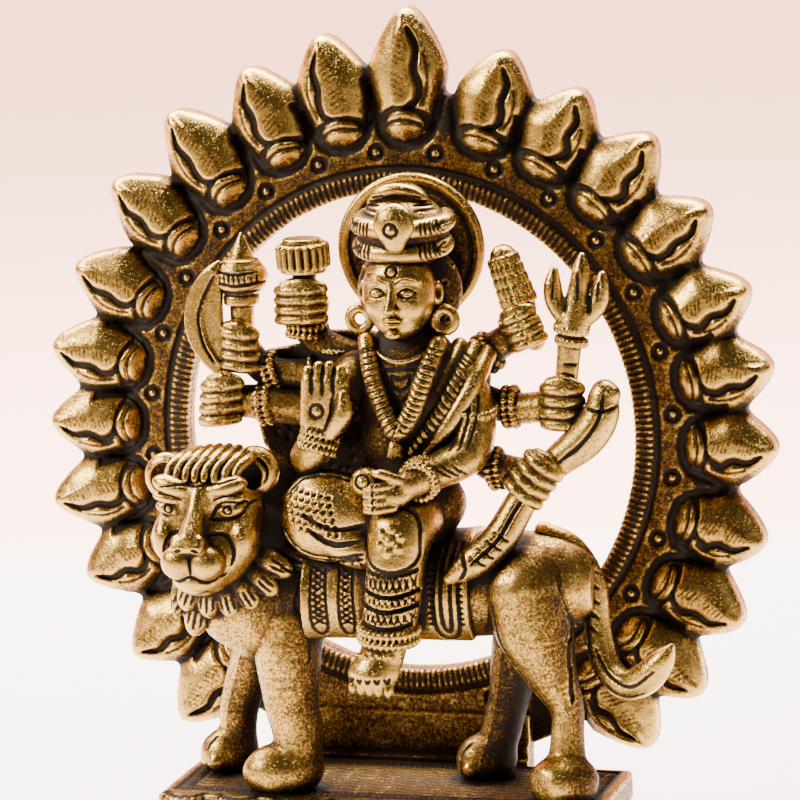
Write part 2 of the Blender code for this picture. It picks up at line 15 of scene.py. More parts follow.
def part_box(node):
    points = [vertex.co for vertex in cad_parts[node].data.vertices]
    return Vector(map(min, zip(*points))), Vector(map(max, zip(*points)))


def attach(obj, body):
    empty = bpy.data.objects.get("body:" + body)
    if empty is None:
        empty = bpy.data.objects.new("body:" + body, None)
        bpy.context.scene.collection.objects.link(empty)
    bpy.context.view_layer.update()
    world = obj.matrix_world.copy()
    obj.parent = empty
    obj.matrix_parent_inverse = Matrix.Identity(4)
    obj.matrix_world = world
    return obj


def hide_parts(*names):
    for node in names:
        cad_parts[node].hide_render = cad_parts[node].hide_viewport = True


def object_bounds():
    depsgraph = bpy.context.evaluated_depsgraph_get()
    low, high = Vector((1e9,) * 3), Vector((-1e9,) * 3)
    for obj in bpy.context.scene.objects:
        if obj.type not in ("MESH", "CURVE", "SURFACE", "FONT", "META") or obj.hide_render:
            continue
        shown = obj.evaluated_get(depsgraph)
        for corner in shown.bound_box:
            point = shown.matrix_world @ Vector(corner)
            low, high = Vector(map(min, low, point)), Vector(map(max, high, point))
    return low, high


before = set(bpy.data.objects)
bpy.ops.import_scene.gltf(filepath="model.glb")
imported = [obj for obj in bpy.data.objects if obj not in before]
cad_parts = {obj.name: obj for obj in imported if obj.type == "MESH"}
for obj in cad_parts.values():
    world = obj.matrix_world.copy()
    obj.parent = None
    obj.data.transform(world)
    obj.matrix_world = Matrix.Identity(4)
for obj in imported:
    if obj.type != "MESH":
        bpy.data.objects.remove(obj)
cad_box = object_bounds()

MM = 0.001
FAR = 4.0
# Grid steps in millimetres, from the finest pieces to the largest.
FACE_STEP, HEAD_STEP, FINE, BODY_STEP, COARSE = 0.2, 0.22, 0.26, 0.32, 0.36
rng = np.random.default_rng(11)


# --------------------------------------------------------------------- the frame

def corners(*nodes):
    """Lowest and highest corner of some CAD nodes, in millimetres."""
    boxes = [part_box(node) for node in nodes]
    low = np.min([np.array(box[0]) for box in boxes], axis=0) / MM
    high = np.max([np.array(box[1]) for box in boxes], axis=0) / MM
    return low, high


def middle(node):
    low, high = corners(node)
    return (low + high) / 2


# The statue's own origin, where the millimetre sizes below are measured from: on the
# pedestal's underside, in the middle of its width and 15 mm in front of its rear face.
low, high = corners("pedestal")
STATUE = np.array([(low[0] + high[0]) / 2, high[1] - 15.0, low[2]])


# ------------------------------------------------------------------ clay: shapes

def turned(tilt):
    """Rotation matrix from angles in degrees about X, Y and Z."""
    a, b, c = (math.radians(angle) for angle in tilt)
    about_x = np.array([[1, 0, 0], [0, math.cos(a), -math.sin(a)], [0, math.sin(a), math.cos(a)]])
    about_y = np.array([[math.cos(b), 0, math.sin(b)], [0, 1, 0], [-math.sin(b), 0, math.cos(b)]])
    about_z = np.array([[math.cos(c), -math.sin(c), 0], [math.sin(c), math.cos(c), 0], [0, 0, 1]])
    return about_z @ about_y @ about_x


class Local:
    """A shape set at a centre with a tilt; size is how far it reaches each way."""

    def __init__(self, centre, size, tilt=(0, 0, 0)):
        self.centre = np.array(centre, float)
        self.turn = turned(tilt)
        reach = np.abs(self.turn) @ np.array(size, float)
        self.low = self.centre - reach
        self.high = self.centre + reach

    def coordinates(self, x, y, z):
        dx, dy, dz = x - self.centre[0], y - self.centre[1], z - self.centre[2]
        t = self.turn
        return [t[0, i] * dx + t[1, i] * dy + t[2, i] * dz for i in range(3)]


class Egg(Local):
    """An ellipsoid."""

    def __init__(self, centre, radii, tilt=(0, 0, 0)):
        super().__init__(centre, radii, tilt)
        self.radii = radii

    def at(self, x, y, z):
        p = self.coordinates(x, y, z)
        near = np.sqrt(sum((p[i] / self.radii[i]) ** 2 for i in range(3)))
        steep = np.sqrt(sum((p[i] / self.radii[i] ** 2) ** 2 for i in range(3)))
        return near * (near - 1.0) / np.maximum(steep, 1e-3)


class Block(Local):
    """A box with rounded edges; half sizes include the rounding."""

    def __init__(self, centre, half, tilt=(0, 0, 0), edge=0.5):
        super().__init__(centre, half, tilt)
        self.half = half
        self.edge = edge

    def at(self, x, y, z):
        q = [np.abs(c) - (h - self.edge) for c, h in zip(self.coordinates(x, y, z), self.half)]
        outside = np.sqrt(sum(np.maximum(c, 0) ** 2 for c in q))
        inside = np.minimum(np.maximum(np.maximum(q[0], q[1]), q[2]), 0)
        return outside + inside - self.edge


class Drum(Local):
    """A round disc or cylinder along its local Z, with ribs cut round its rim if asked."""

    def __init__(self, centre, radius, half, tilt=(0, 0, 0), edge=0.4, ribs=0, rib_depth=0.3):
        super().__init__(centre, (radius, radius, half), tilt)
        self.radius, self.half, self.edge = radius, half, edge
        self.ribs, self.rib_depth = ribs, rib_depth

    def at(self, x, y, z):
        a, b, c = self.coordinates(x, y, z)
        radius = self.radius - self.edge
        if self.ribs:
            radius = radius - self.rib_depth * (0.5 + 0.5 * np.cos(self.ribs * np.arctan2(b, a))) ** 2
        side = np.sqrt(a * a + b * b) - radius
        end = np.abs(c) - (self.half - self.edge)
        outside = np.sqrt(np.maximum(side, 0) ** 2 + np.maximum(end, 0) ** 2)
        return outside + np.minimum(np.maximum(side, end), 0) - self.edge


class Ring(Local):
    """A torus round its local Z, with ribs cut across it if asked."""

    def __init__(self, centre, radius, thickness, tilt=(0, 0, 0), ribs=0):
        reach = radius + thickness
        super().__init__(centre, (reach, reach, thickness), tilt)
        self.radius, self.thickness, self.ribs = radius, thickness, ribs

    def at(self, x, y, z):
        a, b, c = self.coordinates(x, y, z)
        thickness = self.thickness
        if self.ribs:
            wave = 0.5 + 0.5 * np.cos(self.ribs * np.arctan2(b, a))
            thickness = thickness * (1 - 0.45 * wave ** 2)
        return np.sqrt((np.sqrt(a * a + b * b) - self.radius) ** 2 + c * c) - thickness


def smooth_rows(rows, steps):
    """Points on a smooth curve through rows of any width."""
    rows = np.array(rows, float)
    if len(rows) < 3 or steps < 2:
        return rows
    rows = np.vstack([2 * rows[0] - rows[1], rows, 2 * rows[-1] - rows[-2]])
    made = []
    for before, here, there, after in zip(rows, rows[1:], rows[2:], rows[3:]):
        for t in np.arange(steps) / steps:
            made.append(0.5 * (2 * here + (there - before) * t
                               + (2 * before - 5 * here + 4 * there - after) * t * t
                               + (3 * here - before - 3 * there + after) * t ** 3))
    made.append(rows[-2])
    return np.array(made)


class Plate:
    """A flat plate across Y from an outline of (x, z) points."""

    def __init__(self, outline, front, rear, edge=0.5):
        self.outline, self.edge = outline, edge
        self.mid, self.half = (front + rear) / 2, (rear - front) / 2
        points = np.array(outline)
        self.low = np.array([points[:, 0].min(), front, points[:, 1].min()])
        self.high = np.array([points[:, 0].max(), rear, points[:, 1].max()])

    def at(self, x, y, z):
        u, v = np.broadcast_arrays(x, z)
        side = from_outline(self.outline, u[:, 0, :], v[:, 0, :])[:, None, :] + self.edge
        deep = np.abs(y - self.mid) - self.half + self.edge
        outer = np.sqrt(np.maximum(side, 0) ** 2 + np.maximum(deep, 0) ** 2)
        return outer + np.minimum(np.maximum(side, deep), 0) - self.edge


class Stroke:
    """A tapering round bar through rows of (x, y, z, radius), ribbed at a pitch if asked.

    flat squashes it along an axis given as (axis index, factor).
    """

    def __init__(self, rows, steps=4, pitch=0, rib=0.0, flat=None):
        rows = np.array(rows, float)
        rows = smooth_rows(rows, steps)
        rows[:, 3] = np.maximum(rows[:, 3], 0.05)
        self.rows, self.pitch, self.rib, self.flat = rows, pitch, rib, flat
        self.low = (rows[:, :3] - rows[:, 3:]).min(axis=0)
        self.high = (rows[:, :3] + rows[:, 3:]).max(axis=0)

    def at(self, x, y, z):
        grid = [x, y, z]
        rows = self.rows
        if self.flat:
            axis, factor = self.flat
            heart = rows[:, axis].mean()
            rows = rows.copy()
            rows[:, axis] = heart + (rows[:, axis] - heart) / factor
            grid[axis] = heart + (grid[axis] - heart) / factor
        best = None
        travelled = 0.0
        for start, end in zip(rows, rows[1:]):
            along = end[:3] - start[:3]
            length = max(float(np.linalg.norm(along)), 1e-6)
            rel = [g - s for g, s in zip(grid, start[:3])]
            t = np.clip(sum(r * a for r, a in zip(rel, along)) / length ** 2, 0, 1)
            gap = np.sqrt(sum((r - t * a) ** 2 for r, a in zip(rel, along)))
            gap = gap - (start[3] + t * (end[3] - start[3]))
            if self.pitch:
                phase = (travelled + t * length) / self.pitch
                gap = gap + self.rib * (0.5 + 0.5 * np.cos(2 * np.pi * phase)) ** 2
            best = gap if best is None else np.minimum(best, gap)
            travelled += length
        return best * (self.flat[1] if self.flat and self.flat[1] < 1 else 1.0)


def soft_min(a, b, blend):
    if blend <= 0:
        return np.minimum(a, b)
    h = np.clip(0.5 + 0.5 * (a - b) / blend, 0, 1)
    return a + (b - a) * h - blend * h * (1 - h)


class Clay:
    """A block of clay round one CAD node, measured from the statue's origin."""

    def __init__(self, node, step=None, margin=1.6, origin=None):
        low, high = corners(node)
        self.origin = STATUE if origin is None else origin
        self.start(low - self.origin - margin, high - self.origin + margin, step or FINE)

    def start(self, low, high, step):
        self.step = step
        self.low = np.array(low, float)
        counts = np.ceil((np.array(high) - self.low) / step).astype(int) + 1
        self.axes = [self.low[i] + step * np.arange(counts[i]) for i in range(3)]
        self.field = np.full(counts, FAR, np.float32)
        self.ink = np.zeros(counts, np.float32)

    def window(self, shape, margin):
        where = []
        for i in range(3):
            first = int(np.searchsorted(self.axes[i], shape.low[i] - margin))
            last = int(np.searchsorted(self.axes[i], shape.high[i] + margin))
            where.append(slice(first, last))
        x, y, z = (self.axes[i][where[i]] for i in range(3))
        return tuple(where), (x[:, None, None], y[None, :, None], z[None, None, :])

    def add(self, *shapes, blend=0.5):
        for shape in shapes:
            where, grid = self.window(shape, blend + 1.2)
            field = self.field[where]
            if field.size:
                self.field[where] = soft_min(field, shape.at(*grid), blend)
        return self

    def carve(self, *shapes, blend=0.12, ink=0.0):
        """Cut shapes away; ink is how much dark patina stays in the cut."""
        for shape in shapes:
            where, grid = self.window(shape, blend + 0.8)
            field = self.field[where]
            if field.size:
                gap = shape.at(*grid)
                self.field[where] = -soft_min(-field, gap, blend)
                if ink:
                    dark = ink * np.clip(1.0 - np.maximum(gap, 0) / 0.22, 0, 1) ** 1.5
                    self.ink[where] = np.maximum(self.ink[where], dark)
        return self

    def keep(self, shape):
        """Keep only what lies inside a shape."""
        x, y, z = self.axes
        inside = shape.at(x[:, None, None], y[None, :, None], z[None, None, :])
        self.field = np.maximum(self.field, inside.astype(np.float32))
        return self

    def depth(self, side, a, b):
        """Where the surface lies at (a, b), seen from one side: '-y', '+y', '-x', '+x' or '+z'."""
        axis = "xyz".index(side[1])
        others = [i for i in range(3) if i != axis]
        index = [0, 0, 0]
        for other, value in zip(others, (a, b)):
            index[other] = int(round((value - self.low[other]) / self.step))
            if not 0 <= index[other] < self.field.shape[other]:
                return None
        index[axis] = slice(None)
        column = self.field[tuple(index)]
        if side[0] == "+":
            column = column[::-1]
        solid = np.nonzero(column < 0)[0]
        if not len(solid) or solid[0] == 0:
            return None
        first = solid[0]
        part = column[first - 1] / (column[first - 1] - column[first])
        spot = (first - 1 + part) * self.step
        if side[0] == "+":
            spot = (len(column) - 1) * self.step - spot
        return self.low[axis] + spot

    def on_surface(self, points, side, spacing=0.5):
        """A path given by two coordinates, laid on the surface as rows of x, y, z."""
        points = smooth_rows(points, 6)
        rows = []
        axis = "xyz".index(side[1])
        for start, end in zip(points, points[1:]):
            count = max(1, int(np.linalg.norm(end - start) / spacing))
            for t in np.arange(count) / count:
                rows.append(start + (end - start) * t)
        rows.append(points[-1])
        placed = []
        for a, b in rows:
            deep = self.depth(side, a, b)
            if deep is not None:
                spot = [a, b]
                spot.insert(axis, deep)
                placed.append(spot)
        return np.array(placed)

    def line(self, points, width=0.5, side="-y", raised=False, taper=True, sink=0.0, pitch=0, rib=0.0):
        """Chase a groove, or lay a raised wire, along a path on the surface."""
        path = self.on_surface(points, side)
        if len(path) < 2:
            return self
        jump = np.linalg.norm(np.diff(path, axis=0), axis=1)
        if jump.max() > 2.5:
            return self
        radius = np.full(len(path), width / 2)
        if taper and len(path) > 3:
            ramp = np.minimum(np.arange(len(path)), np.arange(len(path))[::-1]) / 2.0
            radius = radius * np.clip(0.45 + ramp * 0.55, 0, 1)
        axis = "xyz".index(side[1])
        deeper = sink if raised else 0.12 + 0.12 * width
        path[:, axis] += deeper * (1 if side[0] == "-" else -1)
        rows = np.column_stack([path, radius + (0 if raised else 0.03)])
        for first in range(0, len(rows) - 1, 9):
            shape = Stroke(rows[first:first + 10], steps=1, pitch=pitch, rib=rib)
            if raised:
                self.add(shape, blend=0.12)
            else:
                self.carve(shape, blend=0.14, ink=0.85)
        return self

    def punch(self, a, b, radius=1.2, width=0.45, side="-y"):
        """A ring mark punched into the surface."""
        angles = np.linspace(0, 2 * math.pi, 13)
        points = [(a + radius * math.cos(t), b + radius * math.sin(t)) for t in angles]
        return self.line(points, width, side, taper=False)


# ----------------------------------------------------------------- clay: surface

CELL_CORNERS = np.array([(i, j, k) for i in (0, 1) for j in (0, 1) for k in (0, 1)])
CELL_EDGES = [(a, b) for a in range(8) for b in range(a + 1, 8)
              if np.abs(CELL_CORNERS[a] - CELL_CORNERS[b]).sum() == 1]


def surface_net(field):
    """Quads through the zero level of a field, in grid units, facing out."""
    inside = field < 0
    count = np.zeros([n - 1 for n in field.shape], np.int8)
    for i, j, k in CELL_CORNERS:
        count += inside[i:i + count.shape[0], j:j + count.shape[1], k:k + count.shape[2]]
    cells = np.argwhere((count > 0) & (count < 8))
    number = np.full(count.shape, -1, np.int32)
    number[tuple(cells.T)] = np.arange(len(cells))
    values = np.stack([field[tuple((cells + corner).T)] for corner in CELL_CORNERS], axis=1)
    total = np.zeros((len(cells), 3))
    hits = np.zeros(len(cells))
    for a, b in CELL_EDGES:
        first, second = values[:, a], values[:, b]
        crosses = (first < 0) != (second < 0)
        t = first / np.where(crosses, first - second, 1.0)
        spot = CELL_CORNERS[a] + t[:, None] * (CELL_CORNERS[b] - CELL_CORNERS[a])
        total += np.where(crosses[:, None], spot, 0)
        hits += crosses
    points = cells + total / hits[:, None]
    quads = []
    for axis in range(3):
        low = [slice(1, -1)] * 3
        high = [slice(1, -1)] * 3
        low[axis] = slice(0, -1)
        high[axis] = slice(1, None)
        before, after = inside[tuple(low)], inside[tuple(high)]
        one, two = [i for i in range(3) if i != axis]
        for change, flip in ((before & ~after, False), (~before & after, True)):
            edge = np.argwhere(change) + 1
            edge[:, axis] -= 1
            ring = []
            for da, db in ((-1, -1), (0, -1), (0, 0), (-1, 0)):
                cell = edge.copy()
                cell[:, one] += da
                cell[:, two] += db
                ring.append(number[tuple(cell.T)])
            quad = np.stack(ring, axis=1)
            if flip != (axis == 1):
                quad = quad[:, ::-1]
            quads.append(quad)
    quads = np.concatenate(quads)
    return points, quads[(quads >= 0).all(axis=1)]


def make_mesh(name, points, quads):
    mesh = bpy.data.meshes.new(name)
    mesh.vertices.add(len(points))
    mesh.vertices.foreach_set("co", np.ascontiguousarray(points, np.float32).ravel())
    mesh.loops.add(quads.size)
    mesh.loops.foreach_set("vertex_index", np.ascontiguousarray(quads, np.int32).ravel())
    mesh.polygons.add(len(quads))
    mesh.polygons.foreach_set("loop_start", np.arange(0, quads.size, 4, dtype=np.int32))
    mesh.polygons.foreach_set("use_smooth", np.ones(len(quads), bool))
    mesh.update(calc_edges=True)
    mesh.validate()
    return mesh


def vertex_normals(points, quads):
    one = points[quads[:, 2]] - points[quads[:, 0]]
    two = points[quads[:, 3]] - points[quads[:, 1]]
    face = np.cross(one, two)
    normals = np.zeros_like(points)
    for corner in range(4):
        for axis in range(3):
            normals[:, axis] += np.bincount(quads[:, corner], face[:, axis], len(points))
    return normals / np.maximum(np.linalg.norm(normals, axis=1, keepdims=True), 1e-9)


def sample(grid, low, step, points):
    """Read a grid at points by trilinear interpolation."""
    where = (points - low) / step
    top = np.array(grid.shape) - 1.001
    where = np.clip(where, 0, top)
    base = where.astype(int)
    part = where - base
    value = np.zeros(len(points))
    for corner in CELL_CORNERS:
        weight = np.prod(np.where(corner, part, 1 - part), axis=1)
        value += weight * grid[tuple((base + corner).T)]
    return value


def box_blur(grid, reach, passes=2):
    for _ in range(passes):
        for axis in range(3):
            padded = np.concatenate([np.repeat(grid.take([0], axis), reach + 1, axis), grid,
                                     np.repeat(grid.take([-1], axis), reach, axis)], axis)
            total = np.cumsum(padded, axis, dtype=np.float64)
            size = grid.shape[axis]
            span = 2 * reach + 1
            grid = ((total.take(range(span, span + size), axis)
                     - total.take(range(size), axis)) / span).astype(np.float32)
    return grid


LATTICE = rng.random((32, 32, 32)).astype(np.float32)


def grain(points, size):
    """Smooth random values from -1 to 1, about size millimetres across."""
    where = points / size
    base = np.floor(where).astype(int)
    part = where - base
    part = part * part * (3 - 2 * part)
    value = np.zeros(len(points))
    for corner in CELL_CORNERS:
        weight = np.prod(np.where(corner, part, 1 - part), axis=1)
        value += weight * LATTICE[tuple(((base + corner) % 32).T)]
    return value * 2 - 1


# --------------------------------------------------------------- pieces and looks

ROOM_STEP = 0.5
room_low = np.array(cad_box[0]) / MM - 8
room_size = np.ceil((np.array(cad_box[1]) / MM + 8 - room_low) / ROOM_STEP).astype(int)
room = np.zeros(room_size, np.float32)
made = []


def fill_room(points, step):
    """Add how much of each cell of the room is solid, for the patina and the painted shade between pieces."""
    cell = ((points - room_low) / ROOM_STEP).astype(int)
    cell = cell[((cell >= 0) & (cell < room_size)).all(axis=1)]
    flat = np.ravel_multi_index(tuple(cell.T), room.shape)
    share = (step / ROOM_STEP) ** 3
    room.ravel()[:] += (np.bincount(flat, minlength=room.size) * share).astype(np.float32)


def fire(clay, node, look, roughen=0.035, stain_and_shade=0.0, paint=None, slot=None, kind="cast"):
    """Turn clay into the piece that stands for a CAD node; a flat darkening and a paint function darken it,
    with real stains and with painted shade.
    """
    for axis in range(3):
        for end in (0, -1):
            face = [slice(None)] * 3
            face[axis] = end
            clay.field[tuple(face)] = np.maximum(clay.field[tuple(face)], clay.step * 0.5)
    points, quads = surface_net(clay.field)
    local = clay.low + points * clay.step
    solid = np.clip(0.5 - clay.field / clay.step, 0, 1)
    hollow = sample(box_blur(solid, 2), clay.low, clay.step, local)
    inner = np.argwhere(clay.field < 0) * clay.step + clay.low
    # dark: patina in the chased cuts, plus each piece's stains and painted shade.
    dark = sample(clay.ink, clay.low, clay.step, local) * 1.15 + stain_and_shade
    if paint:
        dark = dark + paint(local)
    world = local + clay.origin
    fill_room(inner + clay.origin, clay.step)
    normals = vertex_normals(world, quads)
    rough = grain(world, 1.1) * 0.5 + grain(world + 7, 0.55) * 0.3 + grain(world, 3.1) * 0.9
    world = world + normals * (rough * roughen)[:, None]
    made.append(dict(name=node + "_" + kind, node=node, look=look, slot=slot or look + "_brass",
                     points=world, quads=quads, normals=normals, fine=hollow, stain_and_shade=dark))


def finish_pieces(looks):
    """Build every piece's mesh, with its patina and painted shade as attributes."""
    np.clip(room, 0, 1, out=room)
    spectrum = np.fft.rfftn(room)
    waves = [np.fft.fftfreq(n) for n in room.shape[:2]] + [np.fft.rfftfreq(room.shape[2])]
    square = (waves[0][:, None, None] ** 2 + waves[1][None, :, None] ** 2
              + waves[2][None, None, :] ** 2)
    shade = {}
    # near and wide: painted ambient shade, the room's solid blurred over about 0.9 and 2.6 mm.
    for label, spread in (("near", 0.9), ("wide", 2.6)):
        sigma = spread / ROOM_STEP
        soft = spectrum * np.exp(-2 * (math.pi * sigma) ** 2 * square)
        shade[label] = np.fft.irfftn(soft, room.shape).astype(np.float32)
    for piece in made:
        mesh = make_mesh(piece["name"], piece["points"] * MM, piece["quads"])
        mesh.materials.append(looks[piece["look"]])
        obj = bpy.data.objects.new(piece["name"], mesh)
        bpy.context.scene.collection.objects.link(obj)
        for label, lift in (("near", 0.6), ("wide", 1.6)):
            spots = piece["points"] + piece["normals"] * lift
            piece[label] = sample(shade[label], room_low + ROOM_STEP / 2, ROOM_STEP, spots)
        for label in ("near", "wide", "fine", "stain_and_shade"):
            values = piece[label].astype(np.float32)
            mesh.attributes.new(label, "FLOAT", "POINT").data.foreach_set("value", values)
        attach(obj, "root")
        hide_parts(piece["node"])


# ---------------------------------------------------------------------- materials

def node_tree(name):
    material = bpy.data.materials.new(name)
    material.use_nodes = True
    tree = material.node_tree
    tree.nodes.clear()
    return material, tree


class Wires:
    """Short ways to add shader nodes and join them."""

    def __init__(self, tree):
        self.tree = tree

    def put(self, target, value):
        if isinstance(value, bpy.types.NodeSocket):
            self.tree.links.new(value, target)
        elif value is not None:
            target.default_value = value

    def math(self, kind, a, b=None, clamp=False):
        node = self.tree.nodes.new("ShaderNodeMath")
        node.operation = kind
        node.use_clamp = clamp
        self.put(node.inputs[0], a)
        self.put(node.inputs[1], b)
        return node.outputs[0]

    def span(self, value, low, high, to_low=0.0, to_high=1.0):
        node = self.tree.nodes.new("ShaderNodeMapRange")
        node.interpolation_type = "SMOOTHSTEP"
        for index, part in enumerate((value, low, high, to_low, to_high)):
            self.put(node.inputs[index], part)
        return node.outputs[0]

    def noise(self, size, detail=4.0, rough=0.6, vector=None):
        node = self.tree.nodes.new("ShaderNodeTexNoise")
        node.inputs["Scale"].default_value = 1.0 / size
        node.inputs["Detail"].default_value = detail
        node.inputs["Roughness"].default_value = rough
        self.put(node.inputs["Vector"], vector or self.place())
        return node.outputs["Fac"]

    def place(self):
        """Position in metres, in the shared frame."""
        node = self.tree.nodes.new("ShaderNodeTexCoord")
        return node.outputs["Object"]

    def attribute(self, name):
        node = self.tree.nodes.new("ShaderNodeAttribute")
        node.attribute_name = name
        return node.outputs["Fac"]

    def mix(self, amount, one, two):
        node = self.tree.nodes.new("ShaderNodeMix")
        node.data_type = "RGBA"
        self.put(node.inputs["Factor"], amount)
        for socket, value in ((node.inputs[6], one), (node.inputs[7], two)):
            self.put(socket, value)
        return node.outputs[2]


def brass(name, polish=1.0, age_and_shade=1.0):
    """Cast brass: bright where hands rub it, brown in between, near black in every recess from patina, and
    darkened by painted shade where other parts close round it.
    """
    material, tree = node_tree(name)
    w = Wires(tree)
    fine, near, wide = w.attribute("fine"), w.attribute("near"), w.attribute("wide")
    blotch = w.noise(0.006, 4.0, 0.62)
    speck = w.noise(0.0005, 3.0, 0.75)
    grainy = w.noise(0.00035, 3.0, 0.6)
    # cut is patina in each piece's own small hollows; shut and far_in are painted shade, from how closely all
    # the pieces crowd round each point, scaled by the age setting.
    cut = w.span(fine, 0.50, 0.72)
    shut = w.span(near, 0.30, 0.56)
    far_in = w.span(wide, 0.22, 0.50)
    patina_and_shade = w.math("ADD", w.math("MULTIPLY", cut, 0.9), w.math("MULTIPLY", shut, 0.75 * age_and_shade))
    patina_and_shade = w.math("ADD", patina_and_shade, w.math("MULTIPLY", far_in, 0.85 * age_and_shade))
    # The per-piece attribute adds each piece's stains and its painted shade; the age setting darkens the
    # whole casting.
    patina_and_shade = w.math("ADD", patina_and_shade, w.math("ADD", w.attribute("stain_and_shade"), 0.10 + 0.3 * (age_and_shade - 1)))
    patina_and_shade = w.math("ADD", patina_and_shade, w.math("MULTIPLY", w.math("SUBTRACT", blotch, 0.5), 0.6))
    patina_and_shade = w.math("ADD", patina_and_shade, w.math("MULTIPLY", w.math("SUBTRACT", speck, 0.5), 2.0))
    edge = w.span(fine, 0.49, 0.36)
    patina_and_shade = w.math("SUBTRACT", patina_and_shade, w.math("MULTIPLY", edge, 0.55 * polish))
    brown = w.span(patina_and_shade, 0.08, 0.50)
    black = w.span(patina_and_shade, 0.48, 0.86)
    bright = w.mix(blotch, (0.68, 0.43, 0.10, 1), (0.50, 0.30, 0.06, 1))
    warm = w.mix(brown, bright, (0.15, 0.075, 0.014, 1))
    colour = w.mix(black, warm, (0.016, 0.009, 0.0045, 1))
    rough = w.math("ADD", w.span(patina_and_shade, 0.0, 0.9, 0.24, 0.62),
                   w.math("MULTIPLY", w.math("SUBTRACT", grainy, 0.5), 0.22), clamp=True)
    metal = w.span(patina_and_shade, 0.45, 1.2, 1.0, 0.6)
    pits = w.span(grainy, 0.40, 0.30)
    height = w.math("SUBTRACT", w.math("MULTIPLY", speck, 0.6), w.math("MULTIPLY", pits, 0.5))
    height = w.math("ADD", height, w.math("MULTIPLY", grainy, 0.35))
    bump = tree.nodes.new("ShaderNodeBump")
    bump.inputs["Strength"].default_value = 0.5
    bump.inputs["Distance"].default_value = 0.00022
    w.put(bump.inputs["Height"], height)
    shader = tree.nodes.new("ShaderNodeBsdfPrincipled")
    w.put(shader.inputs["Base Color"], colour)
    w.put(shader.inputs["Roughness"], rough)
    w.put(shader.inputs["Metallic"], metal)
    w.put(shader.inputs["Normal"], bump.outputs["Normal"])
    out = tree.nodes.new("ShaderNodeOutputMaterial")
    w.put(out.inputs["Surface"], shader.outputs["BSDF"])
    return material


def steel(name):
    material, tree = node_tree(name)
    w = Wires(tree)
    worn = w.noise(0.0012, 4.0, 0.6)
    shader = tree.nodes.new("ShaderNodeBsdfPrincipled")
    w.put(shader.inputs["Base Color"], w.mix(worn, (0.34, 0.32, 0.29, 1), (0.52, 0.50, 0.46, 1)))
    w.put(shader.inputs["Roughness"], w.span(worn, 0.2, 0.8, 0.28, 0.5))
    shader.inputs["Metallic"].default_value = 1.0
    out = tree.nodes.new("ShaderNodeOutputMaterial")
    w.put(out.inputs["Surface"], shader.outputs["BSDF"])
    return material


def studio_paper(name, near, far):
    """A pale table that turns into the backdrop's colour further back, faintly uneven."""
    material, tree = node_tree(name)
    w = Wires(tree)
    shader = tree.nodes.new("ShaderNodeBsdfPrincipled")
    reach = w.math("ADD", w.attribute("far"), w.math("MULTIPLY",
                                                     w.math("SUBTRACT", w.noise(0.05, 3.0, 0.5), 0.5), 0.12))
    shown = w.span(reach, -1.0, 0.0)
    w.put(shader.inputs["Base Color"], w.mix(shown, (0.42, 0.38, 0.35, 1),
                                             w.mix(w.span(reach, 0.0, 1.0), near, far)))
    shader.inputs["Roughness"].default_value = 0.7
    w.put(shader.inputs["Emission Color"], w.mix(reach, (1.0, 0.88, 0.83, 1), (1.0, 0.52, 0.38, 1)))
    glow = w.math("MULTIPLY", shown, w.span(reach, 0.0, 1.0, 0.5, 2.7))
    w.put(shader.inputs["Emission Strength"], glow)
    out = tree.nodes.new("ShaderNodeOutputMaterial")
    w.put(out.inputs["Surface"], shader.outputs["BSDF"])
    return material


# ------------------------------------------------------------ camera, light, room

def aim(obj, spot):
    direction = Vector(spot) - obj.location
    obj.rotation_mode = "QUATERNION"
    obj.rotation_quaternion = direction.to_track_quat("-Z", "Y")


VIEW_AZIMUTH = math.radians(15.84)


def set_camera():
    """A long lens, a little to the right of the statue's front and a little above it."""
    azimuth, elevation, roll = VIEW_AZIMUTH, math.radians(10.47), math.radians(-1.72)
    distance, lens = 732.2, 183.195
    target = Vector((0.4, -0.1, 77.7))
    back = Vector((math.sin(azimuth) * math.cos(elevation),
                   -math.cos(azimuth) * math.cos(elevation), math.sin(elevation)))
    right = Vector((math.cos(azimuth), math.sin(azimuth), 0))
    up = back.cross(right)
    rolled_right = right * math.cos(roll) + up * math.sin(roll)
    rolled_up = up * math.cos(roll) - right * math.sin(roll)
    place = target + back * distance
    heart = target + rolled_right * 2.46 + rolled_up * 8.78
    camera = bpy.data.objects.new("camera", bpy.data.cameras.new("camera"))
    bpy.context.scene.collection.objects.link(camera)
    bpy.context.scene.camera = camera
    z_axis = (place - heart).normalized()
    x_axis = (rolled_right - z_axis * rolled_right.dot(z_axis)).normalized()
    y_axis = z_axis.cross(x_axis)
    turn = Matrix((x_axis, y_axis, z_axis)).transposed().to_4x4()
    camera.matrix_world = Matrix.Translation(place * MM) @ turn
    camera.data.sensor_width = 36.0
    camera.data.lens = lens
    camera.data.clip_start = 0.05
    camera.data.clip_end = 20.0


def lamp(name, place, spot, size, power, colour=(1, 1, 1)):
    data = bpy.data.lights.new(name, "AREA")
    data.shape = "RECTANGLE"
    data.size, data.size_y = size
    data.energy = power
    data.color = colour
    obj = bpy.data.objects.new(name, data)
    obj.location = place
    bpy.context.scene.collection.objects.link(obj)
    aim(obj, spot)
    return obj


